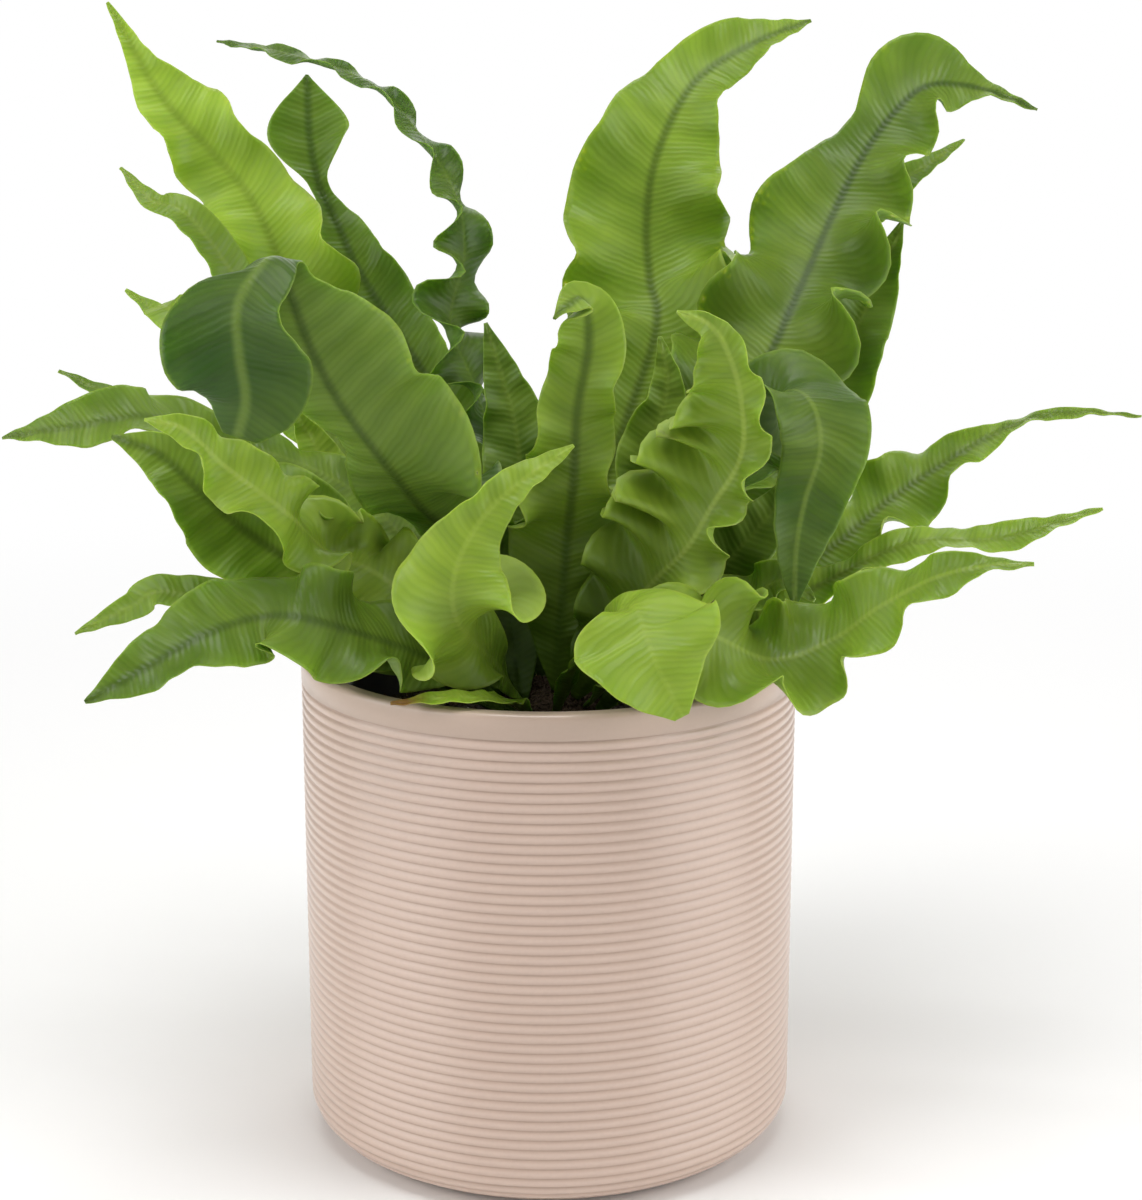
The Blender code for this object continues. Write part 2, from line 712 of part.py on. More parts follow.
fronds["frond_right_shaded"] = {
    "root": (27, 123),
    "route": [(44, 29, 169), (83, 50, 208), (93, 60, 226), (101, 68, 242), (107, 74, 255)],
    "facing": [(-0.2, -1, 0.3), (-0.2, -1, 0.3)],
    "left": (1.3, 7, 13, 17, 16, 12, 8, 0.5),
    "right": (1.3, 7, 13, 17, 16, 12, 8, 0.5),
    "ruffle_left": (5, 35, 0.1),
    "ruffle_right": (5, 40, 0.6),
    "rest_left": (15, 15),
    "rest_right": (15, 15),
    "stations": 13,
    "age": 0.6,
}
fronds["frond_right_hanging"] = {
    "root": (351, 128.5),
    "route": [
        (43, -9, 179), (54, -6, 201), (64, -16, 215), (70, -28, 214),
        (72, -34, 203), (68, -36, 189), (66, -36, 176), (66, -35, 160),
    ],
    "facing": [
        (-0.6, -0.3, 1), (-0.6, -0.3, 1), (-0.2, 0, 1), (0.3, -0.6, 1),
        (0.4, -1, 0.4), (0.2, -1, 0.2), (0.1, -1, 0.1),
    ],
    "left": (1.3, 7, 11, 12, 11, 14, 16, 12, 9, 0.5),
    "right": (1.3, 7, 11, 12, 14, 19, 16, 10, 7, 0.5),
    "ruffle_left": (4, 32, 0.1),
    "ruffle_right": (4, 32, 0.6),
    "rest_left": (15, 15),
    "rest_right": (15, 15),
    "stations": 20,
    "age": 0.78,
}
fronds["frond_right_inner"] = {
    "root": (4, 125.5),
    "route": [(38, 2, 151), (55, 1, 170), (64, 2, 181), (69, 3, 191)],
    "facing": [(-0.2, -1, 0.4), (-0.2, -1, 0.4)],
    "left": (1.3, 6, 12, 12, 7, 0.5),
    "right": (1.3, 6, 12, 12, 7, 0.5),
    "ruffle_left": (4, 30, 0.1),
    "ruffle_right": (4, 30, 0.6),
    "rest_left": (15, 15),
    "rest_right": (15, 15),
    "stations": 11,
    "age": 0.7,
}
fronds["frond_right_reaching"] = {
    "root": (11, 122.5),
    "route": [
        (46, 8, 147), (79, 12, 165), (97, 16, 179), (115, 18, 191),
        (136, 20, 202), (154, 22, 204), (170, 22, 203),
    ],
    "facing": [(0, -0.8, 0.8), (-0.1, -0.8, 0.8), (-0.1, -0.7, 0.9), (0, -0.5, 1)],
    "left": (1.3, 6, 10, 14, 16, 14, 9, 3, 2, 0.5),
    "right": (1.3, 6, 10, 14, 16, 14, 9, 3, 2, 0.5),
    "ruffle_left": (7, 60, 0.1),
    "ruffle_right": (7, 60, 0.6),
    "rest_left": (15, 15),
    "rest_right": (15, 15),
    "stations": 25,
    "age": 0.42,
}
fronds["frond_right_slim"] = {
    "root": (352, 123),
    "route": [(50, -12, 146), (87, -8, 166), (104, -10, 173), (125, -12, 174), (152, -14, 183)],
    "facing": [(0, -0.4, 1), (0, -0.5, 1)],
    "left": (1.3, 5, 7, 7, 6, 6, 5, 0.5),
    "right": (1.3, 5, 7, 7, 6, 6, 5, 0.5),
    "ruffle_left": (5, 35, 0.1),
    "ruffle_right": (5, 35, 0.6),
    "rest_left": (15, 15),
    "rest_right": (15, 15),
    "stations": 16,
    "age": 0.3,
}
fronds["frond_right_ruffled"] = {
    "root": (318, 126),
    "route": [
        (33, -55, 159), (58, -52, 150), (75, -50, 155), (86, -56, 165),
        (99, -62, 174), (111, -66, 178), (123, -68, 179),
    ],
    "facing": [(0, -0.7, 1), (-0.1, -0.8, 0.8), (-0.1, -0.8, 0.8), (0, -0.6, 1)],
    "left": (1.3, 5, 9, 15, 18, 15, 11, 6, 0.5),
    "right": (1.3, 5, 9, 15, 18, 15, 11, 6, 0.5),
    "ruffle_left": (7, 65, 0.1),
    "ruffle_right": (7, 60, 0.6),
    "rest_left": (15, 15),
    "rest_right": (15, 15),
    "stations": 23,
    "age": 0.38,
}
fronds["frond_right_curled"] = {
    "root": (332, 123.5),
    "route": [(36, -16, 148), (55, -20, 159), (64, -25, 165), (72, -30, 161)],
    "facing": [(-0.2, -0.8, 0.8), (-0.1, -0.8, 1)],
    "left": (1.3, 5, 9, 10, 8, 0.5),
    "right": (1.3, 5, 9, 10, 8, 0.5),
    "ruffle_left": (5, 60, 0.1),
    "ruffle_right": (5, 60, 0.6),
    "rest_left": (15, 15),
    "rest_right": (15, 15),
    "stations": 13,
    "age": 0.55,
}
fronds["frond_yellowing"] = {
    "root": (259, 122),
    "route": [(-8, -38, 134), (-13, -58, 141), (-27, -64, 143), (-40, -66, 142)],
    "facing": [(0, -0.3, 1), (0, -0.3, 1)],
    "left": (1.5, 2, 4, 4, 3, 0.5),
    "right": (1.5, 2, 4, 4, 3, 0.5),
    "ruffle_left": (3, 20, 0.1),
    "ruffle_right": (3, 20, 0.6),
    "rest_left": (15, 15),
    "rest_right": (15, 15),
    "stations": 8,
    "age": 0.1,
}
fronds["frond_rear"] = {
    "root": (94, 124.5),
    "route": [(-2, 41, 161), (-3, 66, 184), (-4, 94, 188), (-4, 118, 178), (-2, 136, 160)],
    "facing": [(0, -1, 0.6), (0, -0.6, 1), (0, 0, 1), (0.1, 0.6, 0.8)],
    "left": (1.3, 7, 13, 16, 13, 0.5),
    "right": (1.3, 7, 13, 16, 13, 0.5),
    "ruffle_left": (5, 40, 0.1),
    "ruffle_right": (5, 45, 0.6),
    "rest_left": (15, 15),
    "rest_right": (15, 15),
    "stations": 16,
    "age": 0.45,
}
fronds["frond_rear_right"] = {
    "root": (62, 122.5),
    "route": [(24, 40, 156), (44, 70, 174), (60, 97, 176), (73, 120, 163)],
    "facing": [(0, -1, 0.8), (0, -0.4, 1), (0, 0, 1), (0.2, 0.5, 0.8)],
    "left": (1.3, 7, 12, 13, 10, 0.5),
    "right": (1.3, 7, 12, 13, 10, 0.5),
    "ruffle_left": (5, 45, 0.1),
    "ruffle_right": (5, 40, 0.6),
    "rest_left": (15, 15),
    "rest_right": (15, 15),
    "stations": 15,
    "age": 0.55,
}
fronds["frond_rear_left"] = {
    "root": (135, 121),
    "route": [(-32, 38, 146), (-48, 76, 172), (-62, 104, 176), (-74, 126, 164)],
    "facing": [(0, -1, 0.8), (0, -0.4, 1), (0, 0, 1), (-0.2, 0.5, 0.8)],
    "left": (1.3, 7, 12, 13, 10, 0.5),
    "right": (1.3, 7, 12, 13, 10, 0.5),
    "ruffle_left": (5, 45, 0.1),
    "ruffle_right": (5, 40, 0.6),
    "rest_left": (15, 15),
    "rest_right": (15, 15),
    "stations": 15,
    "age": 0.5,
}
fronds["frond_rear_low"] = {
    "root": (108, 121),
    "route": [(-14, 44, 144), (-22, 74, 152), (-28, 102, 144), (-31, 122, 124)],
    "facing": [(0, -1, 1), (0, -0.2, 1), (0, 0.3, 1), (0, 0.8, 0.5)],
    "left": (1.3, 6, 11, 12, 9, 0.5),
    "right": (1.3, 6, 11, 12, 9, 0.5),
    "ruffle_left": (5, 40, 0.1),
    "ruffle_right": (5, 40, 0.6),
    "rest_left": (15, 15),
    "rest_right": (15, 15),
    "stations": 15,
    "age": 0.6,
}


def build():
    clear_scene()
    cover_pot()
    nursery_pot()
    potting_soil()
    crown()
    for name, frond in fronds.items():
        frond_solid(name, frond)


build()
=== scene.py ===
import math
import random

import bmesh
import bpy
import numpy as np
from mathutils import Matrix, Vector


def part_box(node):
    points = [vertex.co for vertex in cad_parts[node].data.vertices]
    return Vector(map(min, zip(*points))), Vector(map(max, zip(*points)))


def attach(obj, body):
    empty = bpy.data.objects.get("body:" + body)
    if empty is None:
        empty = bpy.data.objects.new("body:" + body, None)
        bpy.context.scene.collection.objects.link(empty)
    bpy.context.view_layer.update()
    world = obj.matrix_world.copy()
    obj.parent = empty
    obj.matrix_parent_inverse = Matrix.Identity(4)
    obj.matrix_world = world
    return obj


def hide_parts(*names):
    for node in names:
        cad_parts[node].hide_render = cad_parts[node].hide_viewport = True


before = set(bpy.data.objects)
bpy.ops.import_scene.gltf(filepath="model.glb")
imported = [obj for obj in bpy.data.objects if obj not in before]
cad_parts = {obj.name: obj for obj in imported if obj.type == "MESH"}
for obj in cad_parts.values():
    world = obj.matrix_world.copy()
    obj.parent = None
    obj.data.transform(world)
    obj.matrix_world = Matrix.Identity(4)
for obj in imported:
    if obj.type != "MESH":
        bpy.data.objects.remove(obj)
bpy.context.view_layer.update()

mm = 0.001
scene = bpy.context.scene
print("frame loaded", len(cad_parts), "nodes")


def linked(name, data):
    made = bpy.data.objects.new(name, data)
    scene.collection.objects.link(made)
    return made


def addNode(tree, kind, links=(), **settings):  # links are (input, socket or value) pairs
    node = tree.nodes.new(kind)
    for key, value in settings.items():
        setattr(node, key, value)
    for place, source in links:
        if hasattr(source, "is_output"):
            tree.links.new(source, node.inputs[place])
        else:
            node.inputs[place].default_value = source
    return node


def mathNode(tree, operation, *values):
    node = tree.nodes.new("ShaderNodeMath")
    node.operation = operation
    for place, value in enumerate(values):
        if hasattr(value, "is_output"):
            tree.links.new(value, node.inputs[place])
        else:
            node.inputs[place].default_value = value
    return node.outputs[0]


def mixColour(tree, factor, first, second, blend="MIX"):
    node = tree.nodes.new("ShaderNodeMix")
    node.data_type = "RGBA"
    node.blend_type = blend
    for place, value in ((0, factor), (6, first), (7, second)):
        if hasattr(value, "is_output"):
            tree.links.new(value, node.inputs[place])
        else:
            node.inputs[place].default_value = value if place == 0 else (*value, 1)
    return node.outputs[2]


def ramp(tree, source, stops):  # stops are (place, grey) or (place, colour) pairs
    node = tree.nodes.new("ShaderNodeValToRGB")
    tree.links.new(source, node.inputs[0])
    marks = node.color_ramp.elements
    while len(marks) < len(stops):
        marks.new(0.5)
    for mark, (place, shade) in zip(marks, stops):
        mark.position = place
        mark.color = (*shade, 1) if isinstance(shade, tuple) else (shade, shade, shade, 1)
    return node.outputs[0]


def noise(tree, place, scale, detail):
    links = [("Vector", place), ("Scale", scale), ("Detail", detail)]
    return addNode(tree, "ShaderNodeTexNoise", links).outputs[0]


def remap(tree, source, fromEnds, toEnds, kind="LINEAR"):
    links = list(enumerate((source, *fromEnds, *toEnds)))
    return addNode(tree, "ShaderNodeMapRange", links, interpolation_type=kind).outputs[0]


def roughen(tree, shader, height, strength, distance):
    links = [("Height", height), ("Strength", strength), ("Distance", distance)]
    tree.links.new(addNode(tree, "ShaderNodeBump", links).outputs[0], shader.inputs["Normal"])


def objectPlace(tree):
    return addNode(tree, "ShaderNodeTexCoord").outputs["Object"]


def markPoints(mesh, name, values):
    mesh.attributes.new(name, "FLOAT", "POINT").data.foreach_set("value", values)


def newMaterial(name):
    material = bpy.data.materials.new(name)
    material.use_nodes = True
    tree = material.node_tree
    return material, tree, tree.nodes["Principled BSDF"]


def pieceFromMesh(name, mesh, material, stands):
    piece = linked(name, mesh)
    if material is not None:
        mesh.materials.append(material)
    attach(piece, "root")
    if stands:
        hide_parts(stands)
    return piece


def gridMesh(name, points, closedAcross=False):  # quads over (rows, columns, 3) points
    rows, columns = points.shape[:2]
    index = np.arange(rows * columns).reshape(rows, columns)
    if closedAcross:
        index = np.concatenate([index, index[:, :1]], 1)
    faces = np.stack([index[:-1, :-1], index[:-1, 1:], index[1:, 1:], index[1:, :-1]], -1).reshape(-1, 4)
    mesh = bpy.data.meshes.new(name)
    mesh.from_pydata(points.reshape(-1, 3).tolist(), [], faces.tolist())
    return mesh


def runNodes(piece, tree, inputs):  # keeps the tree's result as a plain mesh
    modifier = piece.modifiers.new(tree.name, "NODES")
    modifier.node_group = tree
    for item in tree.interface.items_tree:
        if item.item_type == "SOCKET" and item.in_out == "INPUT" and item.name in inputs:
            modifier[item.identifier] = inputs[item.name]
    bpy.context.view_layer.update()
    done = bpy.data.meshes.new_from_object(piece.evaluated_get(bpy.context.evaluated_depsgraph_get()))
    piece.modifiers.remove(modifier)
    piece.data = done
    return done


def startTree(name, sockets):  # sockets are (name, type) pairs
    tree = bpy.data.node_groups.new(name, "GeometryNodeTree")
    tree.interface.new_socket("Geometry", in_out="INPUT", socket_type="NodeSocketGeometry")
    for socketName, kind in sockets:
        tree.interface.new_socket(socketName, in_out="INPUT", socket_type=kind)
    tree.interface.new_socket("Geometry", in_out="OUTPUT", socket_type="NodeSocketGeometry")
    return tree, tree.nodes.new("NodeGroupInput"), tree.nodes.new("NodeGroupOutput")


def finishTree(tree, last, material, end):
    whole = addNode(tree, "GeometryNodeRealizeInstances", [(0, last.outputs[0])])
    links = [(0, whole.outputs[0]), ("Material", material)]
    tree.links.new(addNode(tree, "GeometryNodeSetMaterial", links).outputs[0], end.inputs[0])


view = {
    "place": (0.0063, -0.645, 0.3043),  # metres from the pot's foot
    "tiltDown": 0.229,                  # radians
    "lens": 70.3,
}


def setCamera(view):
    data = bpy.data.cameras.new("camera")
    data.lens = view["lens"]
    data.sensor_width = 36.0
    data.clip_start = 0.01
    camera = bpy.data.objects.new("camera", data)
    camera.location = view["place"]
    camera.rotation_euler = (math.pi / 2 - view["tiltDown"], 0, 0)
    scene.collection.objects.link(camera)
    scene.camera = camera


studio = {
    "floorColour": (0.93, 0.925, 0.915),
    "floorHalf": 1.3,      # metres
    "floorLevel": -0.0002,
    "fade": (0.16, 0.95),  # metres from the pot, where it starts and ends
    "skyStrength": 0.23,
    "lampAim": (0, 0, 0.17),
}

softboxes = {  # place, size across and up, power in watts
    "leftBox": {"place": (-1.05, -0.42, 0.45), "size": (1.1, 1.2), "power": 10.4},
    "rightBox": {"place": (1.05, -0.34, 0.45), "size": (1.0, 1.2), "power": 10.4},
    "topBox": {"place": (-0.10, -0.30, 1.35), "size": (0.6, 0.5), "power": 7.6},
    "backBox": {"place": (0.1, 0.95, 0.85), "size": (1.2, 0.7), "power": 5.5},
}


def makeStudio(studio):
    half = studio["floorHalf"]
    mesh = bpy.data.meshes.new("studioFloor")
    corners = [(x * half, y * half, studio["floorLevel"]) for x, y in ((-1, -1), (1, -1), (1, 1), (-1, 1))]
    mesh.from_pydata(corners, [], [(0, 1, 2, 3)])
    floor = linked("studioFloor", mesh)
    paper = bpy.data.materials.new("paperFloor")
    paper.use_nodes = True
    tree = paper.node_tree
    shader = tree.nodes["Principled BSDF"]
    shader.inputs["Base Color"].default_value = (*studio["floorColour"], 1)
    shader.inputs["Roughness"].default_value = 0.9
    # the floor fades to white away from the pot, for the camera only
    away = addNode(tree, "ShaderNodeVectorMath", [(0, objectPlace(tree))], operation="LENGTH")
    fade = remap(tree, away.outputs["Value"], studio["fade"], (0.0, 1.0), "SMOOTHSTEP")
    seen = addNode(tree, "ShaderNodeLightPath").outputs["Is Camera Ray"]
    white = addNode(tree, "ShaderNodeEmission").outputs[0]
    links = [(0, mathNode(tree, "MULTIPLY", fade, seen)), (1, shader.outputs[0]), (2, white)]
    blend = addNode(tree, "ShaderNodeMixShader", links)
    tree.links.new(blend.outputs[0], tree.nodes["Material Output"].inputs["Surface"])
    mesh.materials.append(paper)
    # the sky lights softly and is seen as white paper
    world = bpy.data.worlds.new("studioSky")
    world.use_nodes = True
    tree = world.node_tree
    soft = tree.nodes["Background"]
    soft.inputs["Color"].default_value = (1, 1, 1, 1)
    soft.inputs["Strength"].default_value = studio["skyStrength"]
    paperSky = addNode(tree, "ShaderNodeBackground", [("Color", (1, 1, 1, 1))])
    seen = addNode(tree, "ShaderNodeLightPath").outputs["Is Camera Ray"]
    links = [(0, seen), (1, soft.outputs[0]), (2, paperSky.outputs[0])]
    mix = addNode(tree, "ShaderNodeMixShader", links)
    tree.links.new(mix.outputs[0], tree.nodes["World Output"].inputs[0])
    scene.world = world


def makeSoftbox(name, box):
    data = bpy.data.lights.new(name, "AREA")
    data.shape = "RECTANGLE"
    data.size, data.size_y = box["size"]
    data.energy = box["power"]
    lamp = bpy.data.objects.new(name, data)
    lamp.location = box["place"]
    aim = Vector(studio["lampAim"]) - lamp.location
    lamp.rotation_euler = aim.to_track_quat("-Z", "Y").to_euler()
    scene.collection.objects.link(lamp)


setCamera(view)
makeStudio(studio)
for boxName, box in softboxes.items():
    makeSoftbox(boxName, box)
scene.view_settings.view_transform = "Standard"
scene.view_settings.look = "None"
print("camera, floor and lights")

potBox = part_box("cover_pot")
pot = {
    "radius": (potBox[1][0] - potBox[0][0]) / 2,
    "height": potBox[1][2],
    "wall": 0.005,
    "floor": 0.006,
    "cornerReach": 0.015,
    "cornerRise": 0.011,
    "lipBand": 0.0072,     # plain band above the ribs
    "lipRound": 0.0014,
    "innerFillet": 0.005,
    "ribPitch": 0.00277,
    "ribDepth": 0.0007,
    "ribRows": 7,          # mesh rows on each rib
    "segments": 168,
}


def glazeMaterial(pot):
    material, tree, shader = newMaterial("blushGlaze")
    place = objectPlace(tree)
    xyz = addNode(tree, "ShaderNodeSeparateXYZ", [(0, place)])
    # 0 in a groove, 1 on a rib's crest
    down = mathNode(tree, "SUBTRACT", pot["height"] - pot["lipBand"], xyz.outputs[2])
    phase = mathNode(tree, "FRACT", mathNode(tree, "DIVIDE", down, pot["ribPitch"]))
    crest = mathNode(tree, "POWER", mathNode(tree, "SINE", mathNode(tree, "MULTIPLY", phase, math.pi)), 0.5)
    belowLip = mathNode(tree, "GREATER_THAN", down, 0.0)
    grooveDirtAndShade = mathNode(tree, "MULTIPLY", mathNode(tree, "SUBTRACT", 1.0, crest), belowLip)
    cloud = noise(tree, place, 22.0, 3.0)
    speck = noise(tree, place, 900.0, 2.0)
    body = mixColour(tree, cloud, (0.598, 0.452, 0.374), (0.645, 0.495, 0.412))
    # dirt and painted shade darken the grooves between the ribs
    body = mixColour(tree, mathNode(tree, "MULTIPLY", grooveDirtAndShade, 0.68), body, (0.36, 0.235, 0.172))
    grain = ramp(tree, speck, [(0.30, 0.975), (0.62, 1.0)])
    body = mixColour(tree, 1.0, body, grain, "MULTIPLY")
    # the plain lip, darkened with painted shade from the leaves above
    onLip = mathNode(tree, "LESS_THAN", down, 0.0)
    body = mixColour(tree, mathNode(tree, "MULTIPLY", onLip, 0.5), body, (0.40, 0.300, 0.225))
    tree.links.new(body, shader.inputs["Base Color"])
    tree.links.new(remap(tree, cloud, (0.0, 1.0), (0.26, 0.36)), shader.inputs["Roughness"])
    roughen(tree, shader, speck, 0.05, 0.0004)
    shader.inputs["Coat Weight"].default_value = 0.25
    shader.inputs["Coat Roughness"].default_value = 0.22
    return material


def arc(steps, first=0):  # sine and cosine up to a right angle
    turns = [math.pi / 2 * step / steps for step in range(first, steps + 1)]
    return [(math.sin(turn), math.cos(turn)) for turn in turns]


def potProfile(pot):  # radius, height and 1 where ribs show, from underside round to inner floor
    radius, height, lip, rise = pot["radius"], pot["height"], pot["lipRound"], pot["cornerRise"]
    top, inner = height - pot["lipBand"], radius - pot["wall"]
    reach, floor, fillet = pot["cornerReach"], pot["floor"], pot["innerFillet"]
    profile = [(radius - reach * (1 - sine), rise * (1 - cosine), 1.0) for sine, cosine in arc(36, 1)]
    rows = int((top - rise) / pot["ribPitch"] * pot["ribRows"])
    profile += [(radius, rise + (top - rise) * step / rows, 1.0) for step in range(1, rows + 1)]
    profile.append((radius, top + 0.0004, 0.0))
    profile += [(radius - lip * (1 - cosine), height - lip * (1 - sine), 0.0) for sine, cosine in arc(6)]
    profile += [(inner + lip * (1 - sine), height - lip * (1 - cosine), 0.0) for sine, cosine in arc(6)]
    deep = height - lip - floor - fillet
    profile += [(inner, height - lip - deep * step / 8, 0.0) for step in range(1, 9)]
    for sine, cosine in arc(6, 1):
        profile.append((inner - fillet * (1 - cosine), floor + fillet * (1 - sine), 0.0))
    return profile


def closeMesh(mesh):  # flat ends, faces outwards
    shape = bmesh.new()
    shape.from_mesh(mesh)
    bmesh.ops.holes_fill(shape, edges=shape.edges, sides=0)
    bmesh.ops.triangulate(shape, faces=[face for face in shape.faces if len(face.verts) > 4])
    bmesh.ops.recalc_face_normals(shape, faces=shape.faces)
    shape.to_mesh(mesh)
    shape.free()


def latheMesh(name, profile, segments):  # turned about Z, flat discs at both ends
    turn = np.arange(segments) * 2 * math.pi / segments
    rows = [[(r * math.cos(a), r * math.sin(a), z) for a in turn] for r, z in [p[:2] for p in profile]]
    mesh = gridMesh(name, np.array(rows), closedAcross=True)
    closeMesh(mesh)
    mesh.shade_smooth()
    return mesh


def ribTree():
    tree, start, end = startTree("potRibs", [
        ("Pitch", "NodeSocketFloat"), ("Depth", "NodeSocketFloat"), ("Top", "NodeSocketFloat"),
        ("Glaze", "NodeSocketMaterial"),
    ])
    spot = addNode(tree, "GeometryNodeInputPosition").outputs[0]
    place = addNode(tree, "ShaderNodeSeparateXYZ", [(0, spot)])
    down = mathNode(tree, "SUBTRACT", start.outputs["Top"], place.outputs[2])
    phase = mathNode(tree, "FRACT", mathNode(tree, "DIVIDE", down, start.outputs["Pitch"]))
    crest = mathNode(tree, "POWER", mathNode(tree, "SINE", mathNode(tree, "MULTIPLY", phase, math.pi)), 0.55)
    ribbed = addNode(tree, "GeometryNodeInputNamedAttribute", [("Name", "ribbed")], data_type="FLOAT")
    sunk = mathNode(tree, "MULTIPLY", mathNode(tree, "SUBTRACT", crest, 1.0), start.outputs["Depth"])
    sunk = mathNode(tree, "MULTIPLY", sunk, ribbed.outputs[0])
    normal = addNode(tree, "GeometryNodeInputNormal").outputs[0]
    shift = addNode(tree, "ShaderNodeVectorMath", [(0, normal), ("Scale", sunk)], operation="SCALE")
    moved = addNode(tree, "GeometryNodeSetPosition", [(0, start.outputs[0]), ("Offset", shift.outputs[0])])
    finishTree(tree, moved, start.outputs["Glaze"], end)
    return tree


def makeCoverPot(pot):
    profile = potProfile(pot)
    mesh = latheMesh("coverPot", profile, pot["segments"])
    markPoints(mesh, "ribbed", np.repeat([p[2] for p in profile], pot["segments"]))
    piece = linked("coverPot", mesh)
    glaze = glazeMaterial(pot)
    runNodes(piece, ribTree(), {
        "Pitch": pot["ribPitch"], "Depth": pot["ribDepth"],
        "Top": pot["height"] - pot["lipBand"], "Glaze": glaze,
    })
    if not piece.data.materials:
        piece.data.materials.append(glaze)
    piece.data.shade_smooth()
    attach(piece, "root")
    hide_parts("cover_pot")


makeCoverPot(pot)
print("cover pot")

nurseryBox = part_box("nursery_pot")
nursery = {
    "low": nurseryBox[0][2],
    "top": nurseryBox[1][2],
    "lipRadius": 0.060,
    "lipWide": 0.0018,
    "lipHigh": 0.003,
    "taper": 0.008,
    "wall": 0.001,
    "holes": 6,
    "holeRadius": 0.004,
    "holeRing": 0.034,
}


def plasticMaterial():
    material, tree, shader = newMaterial("darkPlastic")
    place = objectPlace(tree)
    grain = noise(tree, place, 1400.0, 2.0)
    dust = noise(tree, place, 60.0, 4.0)
    dusty = ramp(tree, dust, [(0.5, 0.0), (0.72, 0.6)])
    black = mixColour(tree, dusty, (0.012, 0.012, 0.013), (0.05, 0.04, 0.03))
    tree.links.new(black, shader.inputs["Base Color"])
    shader.inputs["Roughness"].default_value = 0.48
    roughen(tree, shader, grain, 0.15, 0.0003)
    return material


def makeNurseryPot(nursery):
    low, top = nursery["low"], nursery["top"]
    wide = nursery["lipRadius"] - nursery["lipWide"]
    narrow = wide - nursery["taper"]
    under = top - nursery["lipHigh"]
    wall = nursery["wall"]
    profile = [(narrow - 0.002, low), (narrow - 0.0006, low + 0.0005), (narrow, low + 0.002)]
    profile += [(narrow + (wide - narrow) * i / 10, low + (under - low) * i / 10) for i in range(1, 11)]
    profile += [(wide + nursery["lipWide"] - 0.0003, under), (wide + nursery["lipWide"], under + 0.0004)]
    profile += [(wide + nursery["lipWide"], top - 0.0006), (wide + nursery["lipWide"] - 0.0006, top)]
    profile += [(wide - wall + 0.0004, top), (wide - wall, top - 0.0004)]
    for step in range(1, 9):
        profile.append((wide - wall - (wide - narrow) * step / 8, top - (top - low - wall) * step / 8))
    mesh = latheMesh("nurseryPot", profile, 96)
    piece = linked("nurseryPot", mesh)
    pegs = bmesh.new()
    for hole in range(nursery["holes"]):
        angle = 2 * math.pi * hole / nursery["holes"]
        made = bmesh.ops.create_cone(pegs, cap_ends=True, segments=24, radius1=nursery["holeRadius"],
                                     radius2=nursery["holeRadius"], depth=wall * 6)
        place = (nursery["holeRing"] * math.cos(angle), nursery["holeRing"] * math.sin(angle), low)
        bmesh.ops.translate(pegs, verts=made["verts"], vec=place)
    pegMesh = bpy.data.meshes.new("pegs")
    pegs.to_mesh(pegMesh)
    pegs.free()
    cutter = linked("pegs", pegMesh)
    cut = piece.modifiers.new("drainHoles", "BOOLEAN")
    cut.operation = "DIFFERENCE"
    cut.object = cutter
    bpy.context.view_layer.update()
    holed = bpy.data.meshes.new_from_object(piece.evaluated_get(bpy.context.evaluated_depsgraph_get()))
    piece.modifiers.remove(cut)
    piece.data = holed
    bpy.data.objects.remove(cutter, do_unlink=True)
    holed.materials.clear()
    holed.materials.append(plasticMaterial())
    holed.set_sharp_from_angle(angle=math.radians(40))
    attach(piece, "root")
    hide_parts("nursery_pot")


makeNurseryPot(nursery)
print("nursery pot")

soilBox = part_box("potting_soil")
soil = {
    "low": soilBox[0][2],
    "top": soilBox[1][2],
    "radius": 0.0564,
    "lowRadius": 0.0484,
    "rings": 44,
    "segments": 120,
    "rough": 0.0007,
    "seed": 11,
}


def soilMaterial():
    material, tree, shader = newMaterial("peat")
    place = objectPlace(tree)
    links = [("Vector", place), ("Scale", 420.0), ("Detail", 6.0), ("Roughness", 0.7)]
    lump = addNode(tree, "ShaderNodeTexNoise", links)
    damp = noise(tree, place, 40.0, 3.0)
    dark = mixColour(tree, damp, (0.012, 0.008, 0.005), (0.035, 0.024, 0.015))
    tint = ramp(tree, lump.outputs[0], [(0.35, 0.0), (0.7, 1.0)])
    tree.links.new(mixColour(tree, tint, dark, (0.085, 0.055, 0.032)), shader.inputs["Base Color"])
    shader.inputs["Roughness"].default_value = 0.95
    roughen(tree, shader, lump.outputs[0], 0.8, 0.0008)
    return material


def crumbMaterial(name, light, dark, scale):
    material, tree, shader = newMaterial(name)
    place = objectPlace(tree)
    tone = noise(tree, place, scale, 4.0)
    tree.links.new(mixColour(tree, tone, dark, light), shader.inputs["Base Color"])
    shader.inputs["Roughness"].default_value = 0.9
    return material


def lump(name, material, stretch, seed):  # one small rough grain
    shape = bmesh.new()
    bmesh.ops.create_icosphere(shape, subdivisions=1, radius=0.5)
    draw = random.Random(seed)
    for point in shape.verts:
        point.co *= 0.75 + 0.5 * draw.random()
        point.co = [value * side for value, side in zip(point.co, stretch)]
    mesh = bpy.data.meshes.new(name)
    shape.to_mesh(mesh)
    shape.free()
    mesh.materials.append(material)
    grain = linked(name, mesh)
    return grain


